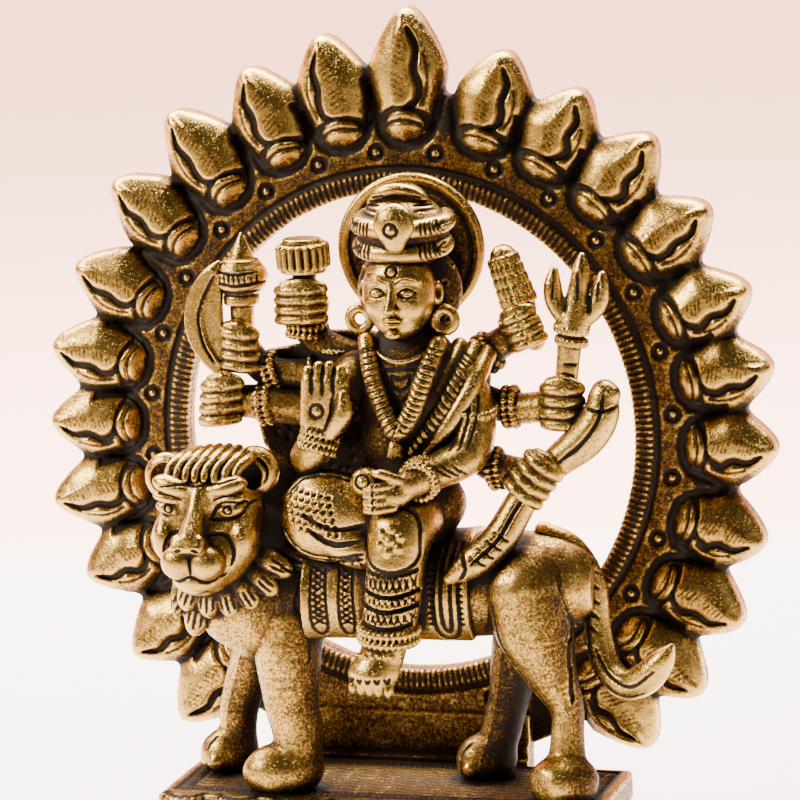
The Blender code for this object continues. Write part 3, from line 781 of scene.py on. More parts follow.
def set_room():
    paper = studio_paper("paper", (0.95, 0.90, 0.88, 1), (0.93, 0.64, 0.54, 1))
    across = Vector((math.cos(VIEW_AZIMUTH), math.sin(VIEW_AZIMUTH), 0))
    away = Vector((-math.sin(VIEW_AZIMUTH), math.cos(VIEW_AZIMUTH), 0))
    rows = [(-2.5, 0, -1), (-0.22, 0, -1), (-0.06, 0, 0), (0.262, 0, 0), (0.285, 0, 0.5), (0.31, 0, 1),
            (1.6, 0, 1), (1.9, 0.1, 1), (2.0, 0.4, 1), (2.0, 2.4, 1)]
    verts = [tuple(away * run + across * side + Vector((0, 0, height))) for run, height,
             _ in rows for side in (-2.5, 2.5)]
    faces = [(2 * i, 2 * i + 1, 2 * i + 3, 2 * i + 2) for i in range(len(rows) - 1)]
    mesh = bpy.data.meshes.new("sweep")
    mesh.from_pydata(verts, [], faces)
    mesh.polygons.foreach_set("use_smooth", np.ones(len(faces), bool))
    mesh.attributes.new("far", "FLOAT", "POINT").data.foreach_set("value",
                                                                  [far for _, _, far in rows for _ in (0, 1)])
    mesh.materials.append(paper)
    sweep = bpy.data.objects.new("sweep", mesh)
    bpy.context.scene.collection.objects.link(sweep)
    world = bpy.data.worlds.new("room")
    bpy.context.scene.world = world
    world.use_nodes = True
    world.node_tree.nodes["Background"].inputs["Color"].default_value = (0.80, 0.72, 0.68, 1)
    world.node_tree.nodes["Background"].inputs["Strength"].default_value = 0.09
    heart = (0, 0, 0.08)
    lamp("key", (-0.75, -0.50, 0.62), heart, (0.30, 0.30), 15.0, (1.0, 0.93, 0.82))
    lamp("fill", (0.95, -0.35, 0.30), heart, (0.10, 0.6), 0.5, (1.0, 0.94, 0.88))
    lamp("top", (0.1, 0.15, 0.95), heart, (0.30, 0.30), 9.0, (1.0, 0.95, 0.88))
    lamp("backdrop", (-0.15, 0.55, 0.75), (-0.25, 0.85, 0.0), (1.6, 0.7), 14.0, (1.0, 0.80, 0.72))
    lamp("table", (-0.1, 0.22, 0.55), (-0.12, 0.30, 0.0), (0.9, 0.2), 24.0, (1.0, 0.95, 0.93))


# ------------------------------------------------------------------ common details

def bar(*rows, **options):
    return Stroke(rows, **options)


def ribs_along(clay, rows, half, pitch=1.05, width=0.34, side="-y", lean=0.0):
    """Short lines chased across a strip that runs through rows of x, y, z."""
    path = smooth_rows(np.array(rows, float)[:, :3], 12)
    steps = np.linalg.norm(np.diff(path, axis=0), axis=1)
    total = np.concatenate([[0], np.cumsum(steps)])
    axes = [i for i in range(3) if i != "xyz".index(side[1])]
    for distance in np.arange(pitch * 0.6, total[-1] - pitch * 0.3, pitch):
        i = min(int(np.searchsorted(total, distance)), len(path) - 1)
        along = (path[i] - path[i - 1])[axes]
        along = along / max(np.linalg.norm(along), 1e-6)
        across = np.array([-along[1], along[0]]) + along * lean
        spot = path[i][axes]
        clay.line([spot - across * half, spot + across * half], width, side)


def cuff(clay, centre, radius, thick, tilt, rows=1, ribs=26):
    """A ribbed bangle: one or more rings side by side round a limb."""
    axis = turned(tilt) @ np.array([0, 0, 1.0])
    for row in range(rows):
        spot = np.array(centre, float) + axis * (row - (rows - 1) / 2) * thick * 1.75
        clay.add(Ring(spot, radius, thick, tilt, ribs), blend=0.15)


def fist(clay, centre, out, up, size=(5.4, 5.0), fingers=4, roll=1.25, thumb=1):
    """Fingers stacked along up, each lying across the front, with a ring mark and a thumb."""
    centre, up = np.array(centre, float), np.array(up, float) / np.linalg.norm(up)
    side = np.array(out, float) / np.linalg.norm(out)
    wide, tall = size
    front = np.cross(side, up)
    front = front if front[1] < 0 else -front
    for number in range(fingers):
        lift = up * tall * ((number + 0.5) / fingers - 0.5)
        ends = [centre + lift - side * wide * 0.5 + front * roll * 0.2,
                centre + lift - side * wide * 0.25 + front * roll * 1.1,
                centre + lift + side * wide * 0.2 + front * roll * 1.15,
                centre + lift + side * wide * 0.5 + front * roll * 0.3]
        radius = tall / fingers * 0.56
        clay.add(bar(*[(*end, radius) for end in ends], steps=3), blend=0.12)
        knuckle = ends[2] + front * radius * 0.9
        clay.carve(bar(*[(*(knuckle + side * s + up * u), 0.16) for s, u in
                         [(-0.5 + 0.5 * math.cos(a), 0.42 * math.sin(a)) for a in np.linspace(0, 6.3, 9)]],
                       steps=1))
    if thumb:
        start = centre + up * tall * 0.5 * thumb - side * wide * 0.35 + front * 0.4
        clay.add(bar((*start, 1.1), (*(start + side * wide * 0.4 + up * 0.5 * thumb + front * 0.5), 1.2),
                     (*(start + side * wide * 0.85 - up * 0.3 * thumb + front * 0.4), 0.8), steps=3),
                 blend=0.2)


# ------------------------------------------------------------------------- aureole

RING_MIDDLE = middle("aureole_rope_rim")
OPENING = np.array([42.4, 44.6])
BAND_WIDTH = 17.0
PETALS_EACH_SIDE = 11
RING_BACK = corners("aureole_band")[1][1] - RING_MIDDLE[1]
PETAL_PITCH, PETAL_TURN = math.radians(12.93), math.radians(1.2)
PETAL_START, PETAL_LENGTH = 9.4, 18.2
PETAL_EDGE = ((0.0, -0.3), (2.5, 0.1), (4.2, 1.4), (5.0, 3.4), (5.8, 5.6), (6.9, 8.0), (7.2, 10.0),
              (6.2, 12.2),
              (4.7, 14.4), (3.1, 16.4), (1.8, 17.6), (0.8, 18.1), (0.0, 18.3))
# Each petal's own lean in degrees and length, clockwise from the lower left.
PETAL_HABITS = ((1.2, 1.07), (0.5, 0.97), (1.6, 0.98), (0.9, 1.06), (0.0, 0.98), (-1.4, 1.02), (-1.6, 1.0),
                (-0.5, 1.07),
                (0.0, 1.12), (0.5, 1.07), (0.0, 1.13), (0.0, 1.32), (2.3, 1.04), (1.9, 0.98), (1.3, 1.02),
                (1.3, 0.97),
                (1.6, 0.93), (0.6, 0.93), (0.0, 0.91), (1.3, 0.92), (0.8, 1.0), (0.0, 1.05), (-1.8, 1.08))


def on_ring(angle, outwards):
    return np.array([(OPENING[0] + outwards) * math.sin(angle), (OPENING[1] + outwards) * math.cos(angle)])


def from_outline(outline, u, v):
    """Signed distance to a closed outline, negative inside."""
    best = np.full(u.shape, 1e9)
    inside = np.zeros(u.shape, bool)
    for (ax, ay), (bx, by) in zip(outline, outline[1:] + outline[:1]):
        ex, ey = bx - ax, by - ay
        t = np.clip(((u - ax) * ex + (v - ay) * ey) / max(ex * ex + ey * ey, 1e-9), 0, 1)
        best = np.minimum(best, (u - ax - t * ex) ** 2 + (v - ay - t * ey) ** 2)
        if ay != by:
            inside ^= ((ay > v) != (by > v)) & (u < ex * (v - ay) / ey + ax)
    return np.where(inside, -1, 1) * np.sqrt(best)


def from_path(points, u, v):
    """Distance to an open path, and how far along it the nearest point is, from 0 to 1."""
    best = np.full(u.shape, 1e9)
    along = np.zeros(u.shape)
    pieces = len(points) - 1
    for number, ((ax, ay), (bx, by)) in enumerate(zip(points, points[1:])):
        ex, ey = bx - ax, by - ay
        t = np.clip(((u - ax) * ex + (v - ay) * ey) / max(ex * ex + ey * ey, 1e-9), 0, 1)
        gap = (u - ax - t * ex) ** 2 + (v - ay - t * ey) ** 2
        along = np.where(gap < best, (number + t) / pieces, along)
        best = np.minimum(best, gap)
    return np.sqrt(best), along


def notch(gap, width):
    return np.exp(-(gap / width) ** 2)


def petal_relief(u, v, stretch, wobble):
    """Height of one petal's chased front over the band, u across and v outwards from its root."""
    v = v / stretch
    outline = [(a, b) for a, b in PETAL_EDGE] + [(-a, b) for a, b in PETAL_EDGE[-2:0:-1]]
    edge = from_outline(outline, u, v)
    rise = 2.9 * (1 - np.exp(-np.maximum(-edge, 0) / 2.1))
    rise = rise - 0.10 * np.maximum(-u - 0.6, 0) ** 1.2 - 0.13 * np.maximum(u - 0.6, 0) ** 1.3
    ridge = smooth_rows([(0.0, 3.4), (-0.9 + wobble, 7.5), (-0.6, 12.0), (0.1, 16.6)], 5)
    gap, along = from_path(ridge, u, v)
    band = np.clip(1.35 - gap, 0, 0.5) * np.clip(8 * along, 0, 1)
    ticks = 0.5 + 0.5 * np.cos(2 * np.pi * (v + 0.35 * u) / 0.85)
    grouped = ((v > 5.4) & (v < 9.2)) | ((v > 10.4) & (v < 14.6))
    marks = ticks ** 2 * grouped * (gap < 1.3)
    rise = rise + band * 0.8 - 0.18 * marks
    dark = 0.55 * marks
    sickle = smooth_rows([(0.7, 15.6), (2.3, 12.8), (2.0, 9.8), (2.9 + wobble, 7.4), (2.2, 5.4),
                          (0.4, 4.6)], 5)
    gap, along = from_path(sickle, u, v)
    width = 0.22 + 0.62 * np.sin(np.pi * np.clip(along, 0, 1)) ** 0.7
    rise = rise - 1.35 * notch(gap, width)
    dark = dark + 0.95 * notch(gap, width)
    gap, along = from_path(smooth_rows([(3.6, 12.2), (4.3, 9.6), (4.2, 7.2), (3.5, 5.2)], 4), u, v)
    rise = rise - 0.4 * notch(gap, 0.3)
    dark = dark + 0.7 * notch(gap, 0.35)
    lens = np.sqrt((u / 4.4) ** 2 + ((v - 2.0) / 2.5) ** 2)
    upper = notch((lens - 1.0) * 2.6, 0.42) * (v > 1.2)
    inner = notch(v - 1.9 - 0.9 * (1 - (u / 3.6) ** 2), 0.33) * (np.abs(u) < 3.4)
    rise = rise - 0.95 * upper - 0.5 * inner + 0.35 * np.clip(1 - lens, 0, 1)
    dark = dark + 1.0 * upper + 0.8 * inner
    # moat: a shallow trench round each petal's root, darkened as patina in it and as painted shadow under the
    # raised petals.
    moat = np.where(v < 8.5, notch(np.maximum(edge - 0.7, 0), 0.7), 0)
    return edge * min(stretch, 1.0), rise, moat, np.clip(dark, 0, 1)


def make_aureole():
    clay = Clay("aureole_band", COARSE * 0.86, origin=RING_MIDDLE)
    xs, ys, zs = clay.axes
    x, z = np.meshgrid(xs, zs, indexing="ij")
    radius = np.sqrt(x * x + z * z)
    angle = np.arctan2(x / OPENING[0], z / OPENING[1])
    rim = np.sqrt((OPENING[0] * np.sin(angle)) ** 2 + (OPENING[1] * np.cos(angle)) ** 2)
    outwards = radius - rim
    front = RING_BACK - 5.0 + 0.12 * grain(np.stack([x, x * 0, z], -1).reshape(-1, 3), 3.0).reshape(x.shape)
    outline = np.maximum(-outwards + 0.15, outwards - BAND_WIDTH - 0.9)
    height = np.zeros(x.shape)
    height -= 0.55 * notch(outwards - 4.3, 0.4)
    dark = 0.5 + 0.5 * notch(outwards - 4.3, 0.6) + 0.5 * np.clip((outwards - 9.0) / 3.0, 0, 1)
    height -= 0.8 * np.clip((outwards - 11.0) / 2.0, 0, 1)
    for number in range(-PETALS_EACH_SIDE - 1, PETALS_EACH_SIDE + 2):
        turn = number * PETAL_PITCH + PETAL_TURN
        spot = on_ring(turn + PETAL_PITCH / 2, 7.3)
        gap = np.sqrt((x - spot[0]) ** 2 + (z - spot[1]) ** 2)
        height += np.where(gap < 2.6, 0.42 * notch(gap, 0.62) - 0.75 * notch(gap - 1.15, 0.36), 0)
        dark += np.where(gap < 2.6, 0.8 * notch(gap - 1.15, 0.4) - 0.3 * notch(gap, 0.6), 0)
        if abs(number) > PETALS_EACH_SIDE:
            continue
        lean, stretch = PETAL_HABITS[number + PETALS_EACH_SIDE]
        turn += math.radians(lean)
        foot, tip = on_ring(turn, PETAL_START), on_ring(turn, PETAL_START + PETAL_LENGTH)
        out = (tip - foot) / np.linalg.norm(tip - foot)
        rows = slice(*np.searchsorted(xs, [min(foot[0], tip[0]) - 9, max(foot[0], tip[0]) + 9]))
        cols = slice(*np.searchsorted(zs, [min(foot[1], tip[1]) - 10, max(foot[1], tip[1]) + 10]))
        px, pz = x[rows, cols] - foot[0], z[rows, cols] - foot[1]
        u, v = px * out[1] - pz * out[0], px * out[0] + pz * out[1]
        u = u if number >= 0 else -u
        edge, rise, moat, ink = petal_relief(u, v, stretch, rng.uniform(-0.3, 0.3))
        outline[rows, cols] = soft_min(outline[rows, cols], edge, 2.2)
        here = height[rows, cols]
        here = np.where(edge > 0, here - 0.8 * moat, np.maximum(here, rise))
        height[rows, cols] = here
        # Painted shade: each petal darkens down its slopes towards its outline, one side twice as much as the
        # other, fading out towards the tip, with the whole face lightened a little.
        face = ink + 0.9 * np.clip(1 + edge / 2.2, 0, 1) * np.where(u < 0, 0.5,
                                                                    1.0) * np.clip((15.5 - v) / 4, 0, 1) - 0.1
        dark[rows, cols] = np.where(edge > 0, np.maximum(dark[rows, cols], 1.0 * moat), face)
    dark = np.where((np.abs(x) < 22) & (z < -48), 0.42, dark)
    tab = np.maximum(np.abs(x - 0.4) - 21.0, np.maximum(z + 53.0, -z - 76.2))
    outline = np.minimum(outline, tab)
    front = np.where(tab < 0.5, RING_BACK - 6.0 + 0.6 * (z > -61), front)
    front = front - height * (tab > 0.5)
    y = ys[None, :, None]
    skin = np.maximum((front[:, None, :] - y) * 0.8, y - RING_BACK)
    clay.field = -soft_min(-np.broadcast_to(outline[:, None, :], skin.shape), -skin, 0.7)
    clay.field = np.minimum(clay.field, FAR).astype(np.float32)

    def paint(spots):
        i = np.clip(((spots[:, 0] - xs[0]) / clay.step).astype(int), 0, len(xs) - 1)
        k = np.clip(((spots[:, 2] - zs[0]) / clay.step).astype(int), 0, len(zs) - 1)
        return np.where(spots[:, 1] < RING_BACK - 2.5, dark[i, k], 0.25)

    fire(clay, "aureole_band", "aureole", paint=paint)

    rope = Clay("aureole_rope_rim", origin=RING_MIDDLE, step=COARSE * 0.86, margin=0.8)
    x, y, z = (axis.reshape([-1 if i == n else 1 for i in range(3)]) for n, axis in enumerate(rope.axes))
    angle = np.arctan2(x / OPENING[0], z / OPENING[1])
    rim = np.sqrt((OPENING[0] * np.sin(angle)) ** 2 + (OPENING[1] * np.cos(angle)) ** 2)
    off = np.sqrt(x * x + z * z) - rim - 1.9
    deep = y - (RING_BACK - 4.2)
    ribs = round(2 * math.pi * 46.0 / 1.12)
    twist = (0.5 + 0.5 * np.cos(ribs * angle)) ** 3
    side, thick = np.maximum(np.abs(off) - 0.9, 0), np.maximum(np.abs(deep) - 0.6, 0)
    body = np.sqrt(side ** 2 + thick ** 2) - 0.95 + 0.32 * twist
    rope.field = np.maximum(body, deep - 0.85).astype(np.float32)
    rope.ink = (np.broadcast_to(twist, rope.field.shape) * 0.8).astype(np.float32)
    fire(rope, "aureole_rope_rim", "aureole", stain_and_shade=0.55)


# ----------------------------------------------------------------------- pedestal

SCALLOPS = 8


def make_pedestal():
    clay = Clay("pedestal", COARSE)
    clay.add(Block((0, 0, 13.2), (41, 15, 2.8), edge=0.9), blend=0)
    clay.add(Block((0, 1.25, 8.2), (39.5, 13.75, 5), edge=0.4),
             Block((0, -0.5, 2.25), (42, 15.5, 2.25), edge=0.7), blend=0.5)
    clay.add(Block((0, 0.2, 5.2), (40.6, 14.8, 1.0), edge=0.9), blend=0.4)
    for number in range(SCALLOPS):
        across = -41 + 82 * (number + 0.5) / SCALLOPS
        clay.add(Drum((across, -12.8, 13.4), 4.5, 2.4, edge=0.8), blend=0.4)
    clay.carve(Block((0, 0.0, 4), (37, 11.2, 9), edge=1.5), blend=0)
    for number in range(SCALLOPS):
        across = -41 + 82 * (number + 0.5) / SCALLOPS
        arc = [(across + 3.6 * math.cos(a), -12.6 + 2.9 * math.sin(a)) for a in np.linspace(math.pi * 1.06,
                                                                                            math.pi * 1.94,
                                                                                            9)]
        clay.line(arc, 0.5, "+z", taper=False)
        for a in np.linspace(math.pi * 1.1, math.pi * 1.9, 9):
            clay.line([(across + 3.8 * math.cos(a), -12.6 + 3.1 * math.sin(a)),
                       (across + 4.6 * math.cos(a), -12.6 + 3.9 * math.sin(a))], 0.4, "+z")
    for inset in (2.0, 4.4):
        for y in (-14.4 + inset + 1.2, 15 - inset):
            clay.line([(-40.6 + inset, y), (40.6 - inset, y)], 0.45, "+z", taper=False)
        for x in (-40.6 + inset, 40.6 - inset):
            clay.line([(x, -13.2 + inset), (x, 15 - inset)], 0.45, "+z", taper=False)
    for x in np.arange(-38.2, 38.4, 1.15):
        for y in (-11.2, 10.8):
            clay.line([(x, y), (x + 0.5, y + 2.0)], 0.42, "+z")
    for y in np.arange(-8.6, 10.2, 1.15):
        for x in (-38.4, 36.4):
            clay.line([(x, y), (x + 2.0, y + 0.4)], 0.42, "+z")
    for x in np.arange(-35.0, 35.2, 2.3):
        for y in np.arange(-8.4, 8.6, 1.9):
            lean = 0.9 if int((x + 35) / 2.3 + 0.5) % 2 else -0.9
            clay.line([(x - 0.8, y - lean * 0.5), (x + 0.9, y + lean * 0.5)], 0.42, "+z")
    for z in (6.9, 10.1):
        clay.line([(-39, z), (39, z)], 0.5, "-y", taper=False)
    for x in np.arange(-38.6, 38.8, 2.2):
        clay.line([(x, 7.3), (x + 1.1, 9.7), (x + 2.2, 7.3)], 0.4, "-y")
    for y in np.arange(-11.5, 12.5, 2.2):
        for side in ("-x", "+x"):
            clay.line([(y, 7.3), (y + 1.1, 9.7), (y + 2.2, 7.3)], 0.4, side)
    fire(clay, "pedestal", "pedestal", roughen=0.05, stain_and_shade=0.35)


# --------------------------------------------------------------------------- lion

LION_SPINE = ((-28, -4.5, 48, 6.5), (-22, -2.5, 50.5, 9.4), (-12, -0.5, 52, 9.2), (3, 0, 52.4, 9.0),
              (15, 0, 52.8, 9.0), (24, 0, 54, 9.3), (31, 0, 54, 8.1), (35.4, 0, 53.5, 4.0))


def lion_eye(clay, x, z, side):
    """A slanting eye in a socket under a heavy brow; side is 1 on the viewer's right."""
    clay.carve(Egg((x, -18.6, z - 0.3), (3.9, 2.2, 2.3), (0, -12 * side, 0)), blend=1.2)
    y = clay.depth("-y", x, z)
    clay.add(Egg((x + 0.2 * side, y + 0.35, z - 0.2), (2.7, 1.4, 1.2), (0, -12 * side, 0)), blend=0.2)
    clay.add(Egg((x + 0.2 * side, y - 0.1, z + 1.7), (3.1, 1.2, 1.0), (0, -12 * side, 0)), blend=0.35)
    corner, outer = (x - 3.2 * side, z - 1.6), (x + 3.3 * side, z + 0.7)
    clay.line([corner, (x - 1.4 * side, z + 1.0), (x + 1.3 * side, z + 1.55), outer], 0.41)
    clay.line([corner, (x - 0.6 * side, z - 1.8), (x + 1.9 * side, z - 1.1), outer,
               (x + 4.6 * side, z + 1.0)], 0.51)
    clay.punch(x + 0.1 * side, z - 0.1, 0.7, 0.34)
    clay.line([(x - 2.4 * side, z + 1.7), (x - 0.2 * side, z + 2.6), (x + 2.6 * side, z + 2.5)], 0.22)
    clay.line([(x - 4.6 * side, z + 1.8), (x - 2.9 * side, z + 4.8), (x + 0.4 * side, z + 6.0),
               (x + 3.4 * side, z + 5.6)], 0.58)
    clay.line([(x - 3.4 * side, z - 4.2), (x - 0.4 * side, z - 4.6), (x + 1.0 * side, z - 7.2),
               (x + 0.6 * side, z - 9.8)], 0.48)
    for step in range(4):
        low = z - 7.9 - 1.0 * step
        clay.line([(x - 4.6 * side, low + 0.2), (x - 1.6 * side, low)], 0.18)


def make_lion_head():
    clay = Clay("lion_head", HEAD_STEP)
    clay.add(Egg((-30.0, -10.0, 67.2), (9.7, 7.6, 10.4)), Egg((-29.8, -12.6, 60.4), (7.8, 6.8, 6.2)),
             blend=2.0)
    for side in (-1, 1):
        clay.add(Egg((-30.4 + 4.7 * side, -15.4, 73.0), (4.3, 2.3, 1.9), (0, -16 * side, 0)),
                 Egg((-30.2 + 7.2 * side, -13.2, 63.4), (2.8, 4.2, 4.6)), blend=1.0)
    clay.add(Egg((-31.0, -16.0, 58.6), (5.0, 4.6, 4.6)), Egg((-30.6, -16.0, 56.2), (4.6, 4.6, 2.6)),
             blend=1.4)
    lion_eye(clay, -25.0, 69.2, 1)
    lion_eye(clay, -36.0, 69.2, -1)
    clay.add(bar((-30.4, -16.0, 72.4, 1.7), (-30.7, -17.8, 68.6, 1.7), (-31.0, -20.4, 64.6, 2.2), steps=4),
             blend=0.9)
    clay.add(Block((-31.1, -20.6, 63.4), (3.1, 2.0, 1.7), (-24, 0, 0), 1.1), blend=0.5)
    for side in (-1, 1):
        clay.add(Egg((-31.0 + 2.6 * side, -19.2, 60.0), (3.3, 2.7, 3.2)), blend=0.5)
        clay.carve(Egg((-31.1 + 1.7 * side, -22.6, 62.6), (0.8, 0.7, 0.4), (0, 25 * side, 0)), ink=0.9)
    for x, y, z, lean in ((-21.9, -8.8, 75.0, 14), (-38.3, -9.4, 73.6, -18)):
        clay.add(Egg((x, y, z), (4.4, 2.4, 4.5), (0, lean, 0)), blend=0.5)
        clay.carve(Egg((x, y - 2.4, z), (3.0, 2.3, 3.1), (0, lean, 0)), blend=0.3, ink=0.35)
        clay.add(bar((x + 1.4, y - 1.2, z - 2.4, 0.5), (x + 1.9, y - 1.4, z, 0.5),
                     (x + 0.6, y - 1.5, z + 1.8, 0.4), steps=3), blend=0.2)
    for number in range(8):
        t = number / 7
        lift = math.sin(math.pi * t)
        foot, top = -36.4 + 12.6 * t, -35.0 + 12.8 * t
        clay.add(bar((foot, -15.2 - 1.5 * lift, 73.9 + 0.7 * lift, 0.55),
                     (foot + 0.1, -14.6 - 1.2 * lift, 75.8, 0.85),
                     (top, -12.4, 77.6 + 0.8 * lift, 0.9), (top + 0.8, -8.4, 78.2 + 0.9 * lift, 0.75),
                     steps=4), blend=0.05)
        if number:
            clay.line([(foot - 0.9, 74.6), (foot - 0.8, 76.4), (top - 0.7, 78.2)], 0.37)
    clay.line([(-37.4, 73.2), (-34.0, 73.6), (-30.2, 73.4), (-26.2, 74.0), (-23.0, 74.8)], 0.34)
    clay.line([(-36.4, 57.6), (-33.8, 56.7), (-31.0, 57.6), (-28.2, 56.7), (-25.4, 57.8)], 0.41)
    clay.line([(-31.0, 61.6), (-31.0, 57.8)], 0.37)
    clay.line([(-35.0, 64.4), (-33.6, 61.9), (-31.1, 61.4), (-28.7, 61.9), (-27.2, 64.4)], 0.27)
    clay.line([(-34.0, 54.9), (-31.0, 54.2), (-28.2, 54.9)], 0.20)
    for side in ("+x", "-x"):
        for step in range(4):
            clay.line([(-9.0 + 1.4 * step, 58.6 + 1.1 * step), (-5.4 + 1.0 * step, 62.4 + 2.6 * step)],
                      0.45, side)
    for x in (-35, -32.6, -30.2, -27.8, -25.4):
        clay.line([(x, 66), (x - 0.5, 73), (x + 0.4, 77)], 0.5, "+y")
    fire(clay, "lion_head", "lion")


def lock(clay, turn, reach, size, deep):
    """A broad leaf of hair round the face, with short lines chased near its end."""
    out = np.array([math.cos(turn), math.sin(turn)])
    heart = np.array([-29.2, 63.6]) + out * reach
    wide, thick, long = size
    lean = 90 - math.degrees(turn)
    clay.add(Egg((heart[0], deep, heart[1]), (wide, thick, long), (0, lean, 0)), blend=0.06)
    across = np.array([-out[1], out[0]])
    for offset in (-0.42, 0.0, 0.42):
        start = heart + out * long * 0.02 + across * offset * wide
        clay.line([start, start + out * long * (0.66 - 0.3 * abs(offset))], 0.34)


def make_lion_mane():
    clay = Clay("lion_mane", margin=3.0)
    clay.add(Egg((-24.4, -4.6, 58.8), (9.6, 6.6, 10.4)),
             Egg((-24.6, -7.2, 52.8), (8.8, 4.4, 4.4), (0, -14, 0)), blend=1.5)
    clay.add(Egg((-20.8, -1.4, 67.6), (6.0, 4.4, 9.4)), blend=1.5)
    for number in range(7):
        turn = math.radians(-124 + 17.5 * number)
        lock(clay, turn, 14.2 + 0.5 * (number % 2), (2.8, 2.1, 5.6), -8.8 + 0.5 * max(number - 3, 0))
    for number in range(6):
        turn = math.radians(-115 + 17.5 * number)
        lock(clay, turn, 11.4, (2.6, 2.2, 4.4), -10.8 + 0.5 * max(number - 3, 0))
    for number in range(6):
        clay.add(bar((-24.4 + 1.9 * number, -5.6 + 0.4 * number, 73 - 1.3 * number, 0.9),
                     (-22.6 + 1.6 * number, -5.8, 66 - 0.8 * number, 1.2),
                     (-21.4 + 1.3 * number, -6.4, 61, 0.8), steps=3), blend=0.15)
    for number in range(5):
        clay.line([(-17.0, 58 + 2.0 * number), (-14.6 + 0.1 * number, 56.4 + 2.0 * number)], 0.45)
    for number in range(7):
        clay.line([(-31 + 2.4 * number, 66 - 0.6 * number), (-32 + 2.6 * number, 52 + 0.4 * number)], 0.6,
                  "+y")
    fire(clay, "lion_mane", "lion", stain_and_shade=0.2, paint=lambda spots: 0.5 * np.clip((spots[:, 2] - 60) / 6, 0,
                                                                                 1))


def make_lion_body():
    clay = Clay("lion_body", BODY_STEP)
    clay.add(Stroke(LION_SPINE, steps=4), blend=0)
    clay.add(Egg((-23.0, -3.8, 48.2), (9.2, 8.0, 9.4)), blend=1.0)
    clay.carve(bar((-12, -3, 39.6, 1.6), (2, -2, 40.6, 2.0), (14, -2, 41.0, 1.6), steps=4), blend=2.0)
    clay.line([(-13.6, 56), (-14.8, 50), (-13.4, 44)], 0.7)
    clay.line([(19.6, 60), (21.6, 56.5), (21.0, 50), (19.2, 45.6)], 0.6)
    for number in range(5):
        clay.line([(-24 + 1.8 * number, 47 + 1.2 * number), (-20.4 + 1.8 * number, 44.6 + 1.2 * number)],
                  0.45, "+y")
    # paint: painted shade, a round dark patch on the body in the gap between the mane and the saddle.
    fire(clay, "lion_body", "lion", stain_and_shade=0.15,
         paint=lambda spots: 0.55 * np.clip(1.4 - np.hypot(spots[:, 0] + 15, spots[:, 2] - 51) / 7, 0, 1))


PAW_BOTTOM = 16.3


def lion_paw(clay, x, y, size, turn, smooth):
    """A rounded paw, with four toes unless it is smooth, pointing to the statue's right."""
    long, wide, tall = size
    heading = np.array([-math.cos(math.radians(turn)), -math.sin(math.radians(turn))])
    across = np.array([-heading[1], heading[0]])
    base = PAW_BOTTOM
    clay.add(Egg((x, y, base + tall * 0.62), (long, wide, tall), (0, 0, turn)), blend=1.0)
    for number in range(0 if smooth else 4):
        aside = (number - 1.5) * wide * 0.44
        tip = np.array([x, y]) + heading * (long * 0.72 - abs(number - 1.5) * 0.6) + across * aside
        clay.add(Egg((*tip, base + tall * 0.42), (1.7, 1.25, 1.6), (0, 0, turn)), blend=0.45)
        if number < 3:
            start = np.array([x, y]) + heading * long * 0.45 + across * (aside + wide * 0.22)
            end = start + heading * long * 0.6
            clay.line([start, end], 0.4, "+z")
    clay.keep(Block((x, y, base + 30), (60, 60, 30), edge=0.2))


